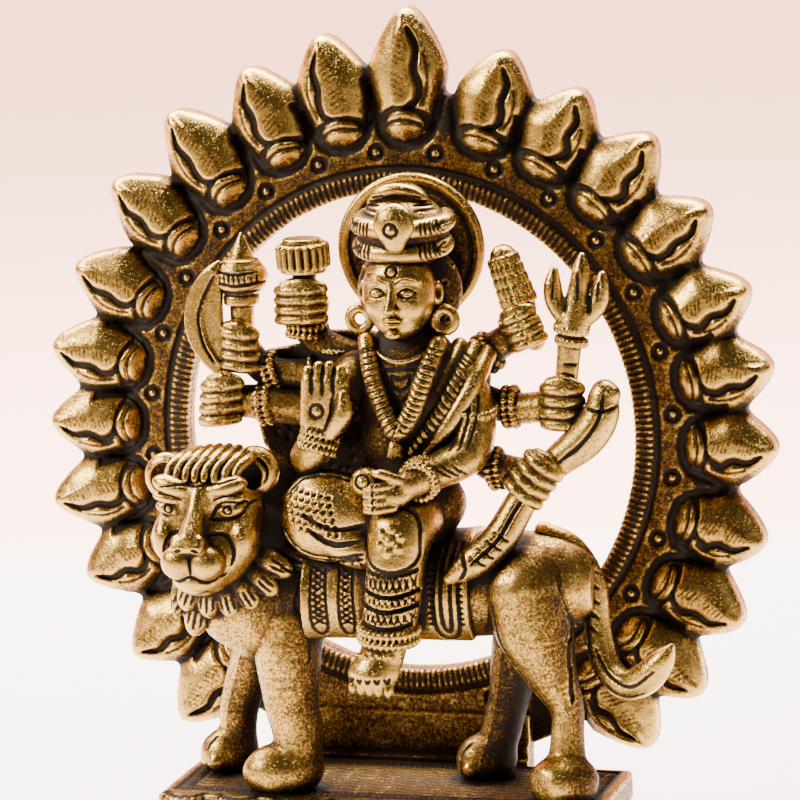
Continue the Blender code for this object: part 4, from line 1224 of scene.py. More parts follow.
def make_lion_legs():
    legs = (
        ("lion_foreleg_near", ((-18.2, -4.6, 47, 7.0), (-18.0, -5.8, 40, 6.0), (-17.4, -6.6, 32, 5.0),
                               (-16.4, -6.8, 26, 4.5), (-16.4, -7.2, 20.5, 4.5)), (-18.8, -8.4),
         (7.4, 5.0, 5.2), 22),
        ("lion_foreleg_far", ((-24.5, 2.6, 45, 5.4), (-28, 3.8, 36, 4.3), (-30.8, 4.2, 28, 3.6),
                              (-31.6, 4.4, 20, 3.5)),
         (-32.8, 3.2), (5.4, 4.4, 4.8), 30),
        ("lion_hindleg_near", ((26.6, -3.6, 53, 8.4), (28.0, -4.8, 46, 6.9), (30.6, -5.2, 39, 4.7),
                               (33.4, -5.2, 32.6, 3.1),
                               (33.6, -5.6, 27, 3.0), (33.4, -6.2, 20, 3.8)), (33.2, -7.6), (6.3, 5.4, 5.0),
         20),
        ("lion_hindleg_far", ((23.5, 5.6, 48, 5.2), (21.6, 6.0, 39, 4.6), (19.8, 6.4, 30, 3.7),
                              (17.0, 6.8, 20, 3.6)),
         (15.6, 6.0), (5.6, 4.6, 4.8), 20))
    for name, rows, paw, size, turn in legs:
        clay = Clay(name, margin=8.0 if "near" in name else 1.6)
        clay.add(Stroke(rows, steps=5), blend=0)
        if "near" in name:
            x, y, z, thick = rows[0]
            clay.add(Egg((x, y + 0.6, z + 0.6), (thick, thick * 0.96, thick)), blend=1.0)
        lion_paw(clay, *paw, size, turn, "near" in name)
        if name == "lion_hindleg_near":
            clay.carve(Egg((27.4, -17.6, 47.0), (6.0, 6.2, 13.5), (0, 12, 0)), blend=1.8)
            clay.line([(32.6, 58.0), (34.6, 50.0), (34.6, 42.0), (35.0, 34.0)], 0.8)
            clay.line([(21.4, 52.0), (22.6, 45.0), (26.4, 38.4), (30.6, 33.0)], 0.6)
            clay.carve(Block((28.4, -13.6, 21.5), (4.6, 2.4, 7.0), (0, 10, -34), 0.6), blend=0.7)
            clay.carve(Block((38.2, -14.4, 22.0), (4.6, 2.4, 7.0), (0, -8, 26), 0.6), blend=0.7)
        if name == "lion_foreleg_near":
            clay.line([(-13.6, 46.5), (-12.9, 43.4), (-13.2, 40.0)], 0.3)
        low_first = np.array(rows)[::-1]

        # Painted shade: each leg darker on its side away from the key lamp, towards +x, and towards the back.
        def shade(spots):
            centre, thick = (np.interp(spots[:, 2], low_first[:, 2], low_first[:, k]) for k in (0, 3))
            away = (spots[:, 0] - centre) / thick
            return 0.55 * np.clip(away - 0.1, 0, 0.8) + 0.3 * np.clip((spots[:, 1] + 5.5) / 3, 0,
                                                                      1) * (away > -0.4)

        # The far hind leg is darkened more, as painted shade behind the near one.
        fire(clay, name, "lion", roughen=0.06,
             stain_and_shade=0.4 if name == "lion_hindleg_far" else 0.16, paint=shade)
    tail = Clay("lion_tail")
    tail.add(bar((28.5, 0.6, 63.4, 1.6), (33.8, 1.0, 60.4, 2.1), (37.4, 0.8, 54, 2.3), (38.2, 0.2, 46.5, 2.3),
                 (39.6, -1.0, 40, 2.5), (43.4, -3.0, 36.6, 2.6), (47.6, -4.6, 38.0, 2.9),
                 (50.8, -5.7, 41.4, 2.3),
                 (53.0, -6.3, 44.6, 0.5), steps=5), blend=0)
    tail.carve(bar((42.4, -3.4, 42.6, 1.0), (46.0, -6.4, 42.8, 1.5), (50.0, -9.4, 45.8, 0.8), steps=4),
               blend=0.3)
    tail.line([(38.2, 43.0), (41.2, 38.4), (45.6, 37.0), (50.0, 40.2)], 0.4)
    tail.line([(40.0, 36.6), (44.0, 34.9), (48.2, 36.0)], 0.35)
    for number in range(5):
        tail.line([(37.0, 57 - 2.6 * number), (38.8, 56 - 2.6 * number)], 0.4)
    fire(tail, "lion_tail", "lion", roughen=0.05)


def make_saddle():
    clay = Clay("saddle_cloth")
    rows = [(x, y, z, r + 1.75) for x, y, z, r in LION_SPINE[1:6]]
    clay.add(Stroke(rows, steps=5), blend=0)
    clay.carve(Stroke([(x, y, z, r + 0.25) for x, y, z, r in LION_SPINE[1:6]], steps=5), blend=0)
    clay.keep(Block((1.75, 0, 74), (15.3, 30, 29.7), edge=0.4))
    for x0, x1 in ((-12.6, -8.2), (-7.4, -3.2)):
        clay.line([(x0, 57.5), (x0, 45.6), (x1, 45.6), (x1, 57.5)], 0.6, taper=False)
        clay.line([(x0 + 0.9, 57.5), (x0 + 0.9, 46.7), (x1 - 0.9, 46.7), (x1 - 0.9, 57.5)], 0.35, taper=False)
        for number in range(9):
            z = 47.4 + 1.15 * number
            clay.line([(x0 + 1.1, z), (x1 - 1.1, z + 1.4)], 0.36)
            clay.line([(x0 + 1.1, z + 1.4), (x1 - 1.1, z)], 0.36)
    for inset in (0.0, 1.3, 2.6):
        clay.line([(9.6 + inset, 62), (9.6 + inset, 45.4 + inset), (16.4 - inset, 45.4 + inset),
                   (16.4 - inset, 62)], 0.6, taper=False)
    for z in np.arange(48.0, 60.0, 1.1):
        clay.line([(9.9, z), (10.7, z)], 0.35)
        clay.line([(15.3, z), (16.1, z)], 0.35)
    for inset in (0.8, 2.4):
        clay.line([(-13 + inset, 60), (-13 + inset, 45 + inset), (16.6 - inset, 45 + inset),
                   (16.6 - inset, 60)], 0.5, "+y", taper=False)
    for x in np.arange(-10.0, 13.6, 1.9):
        for z in np.arange(49.0, 59.0, 1.9):
            clay.line([(x, z), (x + 1.2, z + 1.2)], 0.36, "+y")
            clay.line([(x + 1.2, z), (x, z + 1.2)], 0.36, "+y")
    fire(clay, "saddle_cloth", "saddle")


# ------------------------------------------------------------------- the goddess

# The flat web of metal that joins the arms on the statue's right, as (x, z).
ARM_WEB = [(3, 97.0), (-5, 98.6), (-12, 98.4), (-16.5, 96.0), (-23.6, 94.6), (-25.4, 90), (-25.8, 83),
           (-24.6, 77.4),
           (-21.0, 72.4), (-15, 69.4), (-6, 69.0), (3, 69.0)]


def make_torso():
    clay = Clay("goddess_torso")
    clay.add(Stroke(((4.2, -2, 66, 9.0), (4.6, -2.2, 72, 8.8), (5.0, -2.4, 78, 8.2), (5.4, -2.0, 85, 9.4),
                     (5.4, -1.6, 91, 9.6), (5.2, -1.6, 95.2, 6.8), (5.0, -2.0, 98.4, 3.3),
                     (4.8, -2.2, 102, 3.1)),
                    steps=4, flat=(1, 0.66)), blend=0)
    clay.add(Egg((3.4, -2.4, 68.5), (11.8, 7.4, 7.2)), Egg((-4.8, -0.8, 91.2), (4.5, 4.1, 4.5)),
             Egg((15.4, -0.8, 91.2), (4.5, 4.1, 4.5)), blend=1.2)
    clay.add(Plate(ARM_WEB, 4.3, 6.5), blend=1.6)
    for spot in rng.uniform((-25, 73), (-2, 97), (150, 2)):
        clay.carve(Egg((spot[0], 4.1, spot[1]), (0.5, 0.5, 0.5)), blend=0.2)
    clay.add(Egg((1.0, -5.6, 88.2), (3.3, 2.6, 3.2)), Egg((9.4, -5.4, 88.0), (3.3, 2.6, 3.2)), blend=0.8)
    clay.line([(-0.8, 97.4), (2.0, 95.4), (5.0, 94.8), (8.2, 95.6), (10.8, 97.4)], 0.9, raised=True,
              sink=-0.1)
    clay.line([(2.0, 99.6), (5.0, 98.9), (8.0, 99.6)], 0.5)
    clay.line([(2.0, 93.2), (5.2, 87.4), (8.6, 93.2), (2.0, 93.2)], 0.45, taper=False)
    clay.line([(3.6, 92.4), (3.7, 90.8), (5.2, 89.8), (6.8, 90.8), (6.9, 92.4), (5.2, 91.7), (3.6, 92.4)],
              0.45)
    for number in range(7):
        clay.line([(-4.6 + 0.25 * number, 84.4 - 2.2 * number), (-1.0 + 0.2 * number, 82.6 - 2.0 * number)],
                  0.5)
    for z in (73.0, 75.4):
        clay.line([(-4.0, z), (5.0, z - 0.9), (14.6, z)], 0.55)
    for number in range(15):
        clay.line([(-3.4 + 1.2 * number, 73.0), (-3.2 + 1.2 * number, 75.0)], 0.38)
    for number in range(12):
        clay.line([(-4.4 + 1.6 * number, 96 - 0.4 * abs(number - 6)), (-2.4 + 1.25 * number, 78),
                   (-4.0 + 1.5 * number, 64)], 0.55, "+y")
    # Darker overall, and painted shade growing towards the back, where the web lies behind the arms.
    fire(clay, "goddess_torso", "figure", stain_and_shade=0.5,
         paint=lambda spots: 0.35 * np.clip((spots[:, 1] - 1.0) / 2.0, 0, 1))


def make_folded_leg():
    clay = Clay("folded_leg")
    clay.add(Egg((-8.6, -8.6, 67.0), (9.0, 6.0, 8.4)), blend=0)
    clay.add(Stroke(((3, -5, 67, 6.2), (-5, -7.4, 67.6, 6.6), (-12, -8.4, 68, 4.8)), steps=4),
             Egg((-3.0, -11.8, 61.8), (6.0, 3.3, 3.4), (0, 14, 0)), blend=1.0)
    for number in range(3):
        drop = 1.5 * number
        clay.line([(-16.6 + 0.8 * number, 65.2 - drop), (-12.8, 61.2 - 0.7 * drop),
                   (-7.0, 60.2 - 0.5 * drop), (-0.8, 61.4 - 0.6 * drop)], 0.75)
    clay.line([(-11.0, 65.6), (-6.6, 63.0), (-1.2, 63.6)], 1.0)
    clay.line([(-12.0, 68.2), (-6.6, 65.6), (-0.6, 66.2)], 0.8)
    for row in range(6):
        for column in range(7):
            x, z = -15.2 + 1.35 * column + 0.3 * row, 72.4 - 1.35 * row - 0.18 * column
            if (x + 9) ** 2 / 62 + (z - 68) ** 2 / 40 < 1 and z > 66.0 - 0.35 * (x + 14):
                clay.carve(Block((x, (clay.depth("-y", x, z) or 0) - 0.05, z), (0.42, 0.5, 0.42), edge=0.12))
    clay.line([(-16.2, 70.4), (-12.6, 73.8), (-7.0, 74.6), (-1.0, 72.6)], 0.55)
    clay.line([(-7.6, 60.6), (-8.0, 58.9)], 0.4)
    for number in range(4):
        clay.line([(-6.6 + 1.7 * number, 60.4), (-6.2 + 1.7 * number, 59.0)], 0.4)
    fire(clay, "folded_leg", "figure")


def make_hanging_leg():
    clay = Clay("hanging_leg", margin=2.0)
    clay.add(Stroke(((6.0, -5, 67.4, 6.4), (5.4, -10.2, 65.6, 6.2), (4.9, -12.4, 61, 5.4),
                     (4.2, -13.0, 54, 5.1),
                     (3.3, -13.2, 48.5, 4.9)), steps=5), blend=0)
    clay.add(bar((3.0, -13.2, 47.0, 4.0), (2.0, -13.8, 43.0, 4.0), (0.9, -15.2, 39.6, 3.9), steps=4),
             Egg((0.7, -15.4, 40.0), (4.7, 3.2, 3.6)), blend=0.8)
    clay.line([(0.4, 68.4), (-0.2, 63.6), (1.2, 60.0), (5.4, 58.8), (9.0, 60.2), (9.9, 64.0), (9.0, 68.6),
               (4.8, 70.2), (0.4, 68.4)], 0.7, taper=False)
    y = clay.depth("-y", 4.9, 64.4)
    clay.add(Egg((4.9, y, 64.4), (1.0, 0.7, 1.0)), blend=0.1)
    for number in range(6):
        a = math.radians(60 * number + 20)
        x, z = 4.9 + 2.0 * math.cos(a), 64.4 + 2.0 * math.sin(a)
        clay.add(Egg((x, (clay.depth("-y", x, z) or y) + 0.1, z), (0.85, 0.6, 0.85)), blend=0.05)
    for centre_z, half, x in ((56.6, 1.9, 4.4), (53.4, 1.3, 4.1), (50.4, 1.5, 3.8)):
        for end in (-half, half):
            clay.line([(x - 5.0, centre_z + end + 0.5), (x, centre_z + end - 0.4),
                       (x + 5.0, centre_z + end + 0.5)], 0.75, taper=False)
        for number in range(9):
            foot = x - 4.4 + 1.1 * number
            clay.line([(foot - 0.5, centre_z - half + 0.5), (foot + 0.5, centre_z + half - 0.3)], 0.38)
            clay.line([(foot + 0.5, centre_z - half + 0.5), (foot - 0.5, centre_z + half - 0.3)], 0.38)
    cuff(clay, (3.2, -13.2, 47.0), 4.9, 1.0, (6, 4, 0), rows=2, ribs=30)
    for number in range(8):
        x = -2.2 + 1.15 * number
        spot = clay.depth("-y", x, 43.6 - 0.1 * abs(number - 4))
        if spot is not None:
            clay.add(Egg((x, spot + 0.1, 43.6 - 0.1 * abs(number - 4)), (0.5, 0.5, 0.5)), blend=0.05)
    for number in range(5):
        x = -2.6 + 1.62 * number
        clay.add(Egg((x, -17.2 + 0.12 * (number - 2) ** 2, 37.9 - 0.15 * number), (0.95, 1.5, 1.6)),
                 blend=0.2)
        clay.line([(x - 0.5, 39.6), (x, 38.9), (x + 0.5, 39.6)], 0.36)
    fire(clay, "hanging_leg", "figure")


def make_face():
    """A calm, regular face set out by the usual proportions of a head: eyes half way up it,
    the nose ending half way from brow to chin, one eye's width between the eyes."""
    low, high = corners("goddess_head")
    heart = middle("goddess_head") - STATUE
    tall, wide = (high - low)[2], (high - low)[0]
    clay = Clay("goddess_head", FACE_STEP, margin=4.4)
    cx, cz = heart[0], heart[2]
    eye_z, brow_z, nose_z, mouth_z = cz + 0.02 * tall, cz + 0.15 * tall, cz - 0.19 * tall, cz - 0.30 * tall
    clay.add(Egg((cx + 0.5, 1.0, cz - 0.4), (wide * 0.74, 4.2, tall * 0.56)), blend=0)
    clay.carve(Block((cx, 7.5, cz), (14, 1.9, 14), edge=0.3))
    for spot in rng.uniform((cx - 9, -2.5, cz - 9), (cx + 9, 1.5, cz + 9), (160, 3)):
        clay.carve(Egg(spot, (0.5, 0.5, 0.5)), blend=0.15)
    clay.add(Egg((cx, -4.2, cz), (wide * 0.51, 6.0, tall * 0.5)), blend=0.4)
    clay.add(Egg((cx, -5.4, cz - 0.36 * tall), (wide * 0.27, 3.6, 2.4)), blend=1.8)
    for side in (-1, 1):
        clay.add(Egg((cx + 0.27 * wide * side, -7.2, cz - 0.14 * tall), (2.0, 2.2, 2.4)), blend=1.4)
        clay.carve(Egg((cx + 0.2 * wide * side, -11.0, eye_z), (1.8, 1.1, 1.1)), blend=1.0)
        clay.add(bar((cx + 0.05 * wide * side, -9.7, brow_z - 0.3, 0.5),
                     (cx + 0.2 * wide * side, -9.7, brow_z + 0.5, 0.55),
                     (cx + 0.36 * wide * side, -8.3, brow_z - 0.1, 0.4), steps=4), blend=0.6)
        clay.add(Egg((cx + 0.52 * wide * side, -3.2, cz - 0.02 * tall), (1.0, 1.5, 2.3)), blend=0.3)
        clay.carve(Egg((cx + 0.55 * wide * side, -4.4, cz), (0.5, 0.8, 1.3)), blend=0.2)
    clay.add(bar((cx, -9.8, brow_z - 0.6, 0.55), (cx, -10.6, cz - 0.04 * tall, 0.72),
                 (cx, -11.5, nose_z + 0.7, 0.95), steps=4), blend=0.7)
    clay.add(Egg((cx, -11.4, nose_z + 0.5), (0.95, 0.9, 0.75)), blend=0.3)
    for side in (-1, 1):
        clay.add(Egg((cx + 0.95 * side, -10.4, nose_z + 0.35), (0.65, 0.75, 0.6)), blend=0.3)
        clay.carve(Egg((cx + 0.6 * side, -11.1, nose_z - 0.15), (0.28, 0.4, 0.22)), blend=0.1)
        x = cx + 0.2 * wide * side
        y = clay.depth("-y", x, eye_z) or -9.0
        clay.add(Egg((x, y + 0.35, eye_z), (1.45, 0.9, 0.8)), blend=0.15)
        inner, outer = (x - 1.55 * side, eye_z - 0.12), (x + 1.65 * side, eye_z + 0.12)
        clay.line([inner, (x - 0.6 * side, eye_z + 0.66), (x + 0.6 * side, eye_z + 0.72), outer], 0.26)
        clay.line([inner, (x - 0.4 * side, eye_z - 0.60), (x + 0.8 * side, eye_z - 0.52), outer], 0.2)
        clay.line([(x - 1.2 * side, eye_z - 0.02), (x, eye_z - 0.2), (x + 1.3 * side, eye_z + 0.08)], 0.16)
        clay.line([(x - 1.7 * side, brow_z - 0.25), (x, brow_z + 0.62), (x + 1.9 * side, brow_z)], 0.24)
    for shift, tall_lip, lift in ((0.45, 0.42, 0.62), (-0.4, 0.52, 0.1)):
        clay.add(bar((cx - 1.7, -9.5, mouth_z + 0.12, 0.22), (cx - 0.7, -10.2, mouth_z + shift, tall_lip),
                     (cx, -10.35, mouth_z + shift - 0.08, tall_lip * 0.95),
                     (cx + 0.7, -10.2, mouth_z + shift, tall_lip),
                     (cx + 1.7, -9.5, mouth_z + 0.12, 0.22), steps=4), blend=0.25)
    clay.line([(cx - 1.9, mouth_z + 0.16), (cx - 0.8, mouth_z), (cx, mouth_z + 0.1), (cx + 0.8, mouth_z),
               (cx + 1.9, mouth_z + 0.16)], 0.2)
    clay.add(Egg((cx, -9.5, cz - 0.44 * tall), (1.4, 1.0, 0.9)), blend=0.7)
    y = clay.depth("-y", cx, brow_z + 1.7)
    clay.add(Egg((cx, y, brow_z + 1.7), (0.8, 0.5, 0.8)), blend=0.05)
    clay.punch(cx, brow_z + 1.7, 0.95, 0.22)
    fire(clay, "goddess_head", "figure", roughen=0.012,
         paint=lambda spots: 0.75 * np.clip((spots[:, 1] + 3.2) / 1.6, 0, 1) - 0.1)


def make_headdress():
    clay = Clay("turban_crown")
    clay.add(Egg((4.9, -2.0, 117.4), (8.2, 7.0, 7.0)), blend=0)
    for z, reach, forward in ((114.2, 7.5, -8.2), (118.4, 7.9, -8.7)):
        rows = [(4.9 + reach * math.sin(a), -2.2 + (forward + 2.2) * math.cos(a) * 0.98,
                 z + 0.9 - 0.9 * math.cos(a), 1.7)
                for a in np.radians(np.linspace(-118, 118, 15))]
        clay.add(Stroke(rows, steps=2), blend=0.12)
        ribs_along(clay, rows[1:6], 1.25, 1.0, 0.4)
        ribs_along(clay, rows[9:14], 1.25, 1.0, 0.4)
    rows = [(4.6 + 5.0 * math.sin(a), -2.6 - 2.2 * math.cos(a), 121.6 + 3.6 * math.cos(a),
             1.15) for a in np.radians(np.linspace(-80, 80, 9))]
    clay.add(Stroke(rows, steps=2), Egg((4.6, -0.6, 123.0), (4.4, 3.8, 2.9)), blend=0.4)
    for number in range(5):
        clay.line([(1.0 + 0.3 * number, 120.6 + 0.9 * number), (-2.6 + 0.7 * number, 121.0 + 0.7 * number)],
                  0.4)
        clay.line([(8.6 - 0.3 * number, 120.6 + 0.9 * number), (12.0 - 0.7 * number, 121.0 + 0.7 * number)],
                  0.4)
    for number in range(8):
        clay.line([(-2.0 + 2.0 * number, 121.4 - 0.1 * (number - 3.5) ** 2), (-1.4 + 1.85 * number, 113.0)],
                  0.5, "+y")
    fire(clay, "turban_crown", "ornament", stain_and_shade=0.05)

    jewel = Clay("crown_jewel", margin=2.2)
    x, y, z = middle("crown_jewel") - STATUE
    jewel.add(Egg((x, y + 0.1, z + 0.6), (3.7, 2.0, 3.8)),
              Egg((x + 0.1, y + 0.4, z - 2.9), (1.8, 1.3, 1.6)), blend=0.9)
    jewel.add(Egg((x - 0.2, y - 1.6, z - 0.2), (0.6, 0.6, 0.6)), blend=0.05)
    jewel.punch(x - 0.2, z - 0.2, 1.15, 0.42)
    fire(jewel, "crown_jewel", "ornament")

    halo = Clay("halo_disc")
    x, y, z = middle("halo_disc") - STATUE
    halo.add(Drum((x, y + 0.1, z), 12.8, 0.75, (90, 0, 0), edge=0.2),
             Ring((x, y, z), 12.7, 0.98, (90, 0, 0)), blend=0.15)
    angles = np.linspace(0, 2 * math.pi, 49)
    halo.line([(x + 11.3 * math.cos(a), z + 11.3 * math.sin(a)) for a in angles], 0.5, taper=False)
    for spot in rng.uniform(-11, 11, (260, 2)):
        if np.hypot(*spot) < 10.8:
            halo.carve(Egg((x + spot[0], y - 0.7, z + spot[1]), (0.3, 0.3, 0.3)))
    fire(halo, "halo_disc", "ornament",
         paint=lambda spots: np.where(np.hypot(spots[:, 0] - x, spots[:, 2] - z) < 11.4, 0.6, 0.0))

    for side in ("right", "left"):
        name = "earring_" + side
        clay = Clay(name, FACE_STEP, margin=1.0)
        x, y, z = middle(name) - STATUE
        x += 0.7 if side == "right" else -0.7
        clay.add(Ring((x, y, z), 1.9, 0.95, (90, 0, 0), 0), blend=0)
        clay.add(Egg((x, y + 0.2, z + 2.2), (0.8, 0.7, 0.8)), blend=0.2)
        for number in range(10):
            a = 2 * math.pi * number / 10
            clay.add(Egg((x + 2.6 * math.cos(a), y - 0.1, z + 2.6 * math.sin(a)), (0.32, 0.4, 0.32)),
                     blend=0.05)
        fire(clay, name, "ornament")


def make_dress():
    clay = Clay("garland")
    rows = ((-1.6, -5.4, 98.0, 1.45), (0.2, -8.2, 92.0, 1.5), (2.6, -9.6, 86.0, 1.5), (5.0, -10.2, 82.8, 1.6),
            (7.4, -9.6, 86.0, 1.5), (9.6, -8.2, 92.0, 1.5), (11.4, -5.4, 97.6, 1.45))
    clay.add(Stroke([(a, b + 0.3, c, r + 0.25) for a, b, c, r in rows], steps=5), blend=0)
    ribs_along(clay, rows, 1.6, 1.05, 0.26)
    fire(clay, "garland", "ornament")
    clay = Clay("lotus_pendant", FACE_STEP, margin=1.2)
    x, y, z = middle("lotus_pendant") - STATUE
    clay.add(Egg((x, y, z + 0.3), (1.5, 1.4, 1.6)), blend=0)
    for lean in (-42, -15, 15, 42):
        a = math.radians(lean)
        clay.add(bar((x, y - 0.4, z + 1.2, 0.4), (x + 1.1 * math.sin(a), y - 0.7, z - 0.6, 0.62),
                     (x + 2.0 * math.sin(a), y - 0.3, z + 0.6 - 2.4 * math.cos(a), 0.2), steps=3), blend=0.08)
    fire(clay, "lotus_pendant", "ornament")
    clay = Clay("shoulder_sash", margin=2.2)
    rows = np.array([(16.6, 0.6, 96.0), (15.2, -4.1, 91.6), (11.6, -6.3, 85.2), (7.0, -7.2, 79.0)])
    for shift, radius in ((-2.6, 1.5), (0.0, 1.75), (2.6, 1.6)):
        fold = rows + np.array([shift, -0.5 * (radius - 1.25), -0.25 * shift])
        clay.add(Stroke(np.column_stack([fold, [radius * k for k in (1, 1.1, 1.05, 0.7)]]), steps=5),
                 blend=0.1)
        if shift == 0.0:
            ribs_along(clay, fold[:4], 1.3, 1.2, 0.26, lean=0.35)
    fire(clay, "shoulder_sash", "ornament")


# ------------------------------------------------ what the hands hold, and the arms

def make_attributes():
    clay = Clay("sword")
    x, y, z = middle("sword") - STATUE
    rows = [(-22.4 + 13.0 * math.cos(a), -0.1, 101.2 + 13.0 * math.sin(a), r)
            for a, r in zip(np.radians(np.linspace(226, 130, 11)),
                            (1.2, 1.9, 2.5, 2.9, 3.1, 3.1, 2.9, 2.5, 1.9, 1.2, 0.5))]
    clay.add(Stroke([(a + min(r, 2.6) * 0.7, b, c, r * 1.15) for a, b, c, r in rows], steps=2), blend=0)
    clay.keep(Block((x, y, z), (8, 1.35, 12), edge=0.4))
    clay.keep(Block((x - 3.1, y, z), (5.6, 4, 12), (0, 2, 0), edge=0.2))
    clay.carve(Drum((-22.0, -1.6, 101.2), 11.6, 0.7, (90, 0, 0), edge=0.15), blend=0.1)
    clay.line([(-30.6, 109.6), (-33.0, 105.4), (-34.2, 101.2), (-33.4, 96.6), (-31.4, 93.0)], 0.4)
    fire(clay, "sword", "attribute")

    clay = Clay("mace")
    clay.add(bar((-26.9, 2, 98, 2.1), (-26.9, 2, 103.4, 2.2), steps=1),
             Drum((-26.9, 2, 104.3), 3.3, 0.9, edge=0.4),
             Egg((-26.9, 2, 108.4), (5.0, 4.4, 3.9)), Drum((-26.9, 2, 111.0), 3.4, 0.7, edge=0.3), blend=0.3)
    clay.add(bar((-26.8, 2, 111.4, 2.5), (-26.7, 2, 113.6, 1.5), (-26.6, 2, 116.2, 0.4), steps=3), blend=0.2)
    for z in (106.2, 107.6, 109.6):
        clay.line([(-31.4, z + 0.2), (-26.9, z - 0.3), (-22.2, z + 0.2)], 0.5)
    for number in range(9):
        clay.line([(-30.8 + 0.97 * number, 107.8), (-30.8 + 0.97 * number, 109.3)], 0.36)
    fire(clay, "mace", "attribute")

    clay = Clay("discus")
    clay.add(bar((-15.2, 3.2, 103.6, 2.0), (-15.3, 3.2, 109, 2.2), steps=1), blend=0)
    clay.add(Drum((-15.4, 3.2, 112.2), 4.95, 2.35, (3, -2, 0), edge=0.7, ribs=19, rib_depth=0.75),
             Drum((-15.4, 3.2, 109.6), 4.3, 0.5, edge=0.3), Drum((-15.5, 3.2, 114.8), 3.6, 0.6, edge=0.3),
             blend=0.1)
    for z in (106.0, 107.8):
        clay.line([(-17.6, z), (-15.3, z - 0.3), (-13.0, z)], 0.5)
    fire(clay, "discus", "attribute")

    clay = Clay("trident")
    clay.add(bar((33.2, 0, 88, 2.0), (34.2, 0, 97, 2.2), (35.0, 0, 101, 2.6), steps=3), blend=0)
    for z, radius in ((97.8, 3.1), (99.9, 3.3)):
        clay.add(Drum((34.6, 0, z), radius, 0.75, (0, 10, 0), edge=0.35, ribs=22, rib_depth=0.3), blend=0.1)
    clay.add(bar((35.2, 0, 101, 2.9), (36.0, 0, 106.5, 2.0), (36.6, 0, 110, 1.7), (36.8, 0, 113.0, 0.7),
                 steps=3),
             bar((34.6, 0, 101, 2.0), (31.9, 0, 104.6, 1.8), (31.4, 0, 107.8, 1.6), (31.7, 0, 110.4, 0.8),
                 steps=3),
             bar((35.6, 0, 101, 2.0), (39.2, 0, 104.0, 1.8), (40.1, 0, 107.2, 1.5), (40.4, 0, 109.6, 0.8),
                 steps=3), blend=0.4)
    for x, low, high in ((34.0, 103.4, 108.8), (38.3, 103.2, 108.2)):
        clay.line([(x - 0.2, high), (x + 0.1, low + 1.0), (x, low)], 0.7)
    for x in (36.4, 31.8, 40.0):
        clay.line([(x, 110.4 if x == 36.4 else 108.6), (x - 0.1, 105.4)], 0.36)
    for number in range(3):
        clay.line([(32.6 + 0.5 * number, 90 + 2.0 * number), (36.6 + 0.3 * number, 89.6 + 2.0 * number)], 0.4)
    fire(clay, "trident", "attribute")

    clay = Clay("club")
    clay.add(bar((27.2, 3, 97.4, 2.0), (25.4, 3, 101.6, 2.3), (24.6, 3, 103.8, 3.0), steps=3), blend=0)
    for number in range(5):
        t = number / 4
        spot = (24.3 - 2.4 * t, 3, 104.6 + 7.0 * t)
        clay.add(Drum(spot, 3.5 - 0.5 * t, 0.92, (0, -18, 0), edge=0.4, ribs=16, rib_depth=0.35), blend=0.08)
    clay.add(bar((24.2, 3, 104.4, 2.6), (21.8, 3, 112.2, 2.4), steps=1), blend=0.1)
    fire(clay, "club", "attribute")

    clay = Clay("bow")
    path = ((41.0, -3, 89.2, 2.4), (40.2, -3, 85.0, 3.3), (37.4, -3, 80.8, 3.5), (33.0, -3, 77.2, 3.0),
            (28.6, -3.6, 73.4, 2.5), (25.4, -5.2, 68.6, 2.9), (22.4, -7.2, 63.4, 3.1),
            (18.0, -9.2, 59.4, 2.9),
            (13.8, -10.2, 56.6, 1.3))
    clay.add(Stroke(path, steps=5), Egg((41.0, -3, 88.6), (3.0, 2.6, 2.4), (0, -20, 0)), blend=0.2)
    clay.line([(a + 0.4, c) for a, _, c, _ in path[:4]], 0.75)
    clay.line([(a + 0.2, c) for a, _, c, _ in path[4:8]], 0.75)
    clay.line([(38.4, 86.6), (41.2, 86.2), (43.4, 87.0)], 0.6)
    clay.line([(16.4, 61.4), (17.2, 58.6), (16.0, 56.4)], 0.6)
    for number in range(4):
        clay.line([(22.0 - 1.3 * number, 65.0 - 1.4 * number), (24.6 - 1.3 * number, 63.2 - 1.4 * number)],
                  0.4)
    fire(clay, "bow", "attribute")

    clay = Clay("fruit", margin=1.0)
    x, y, z = middle("fruit") - STATUE
    clay.add(Egg((x, y, z), (2.7, 2.7, 2.6)), blend=0)
    clay.punch(x, z + 0.3, 1.2, 0.42)
    clay.add(Egg((x, y - 2.6, z + 0.3), (0.5, 0.5, 0.5)), blend=0.1)
    fire(clay, "fruit", "attribute")


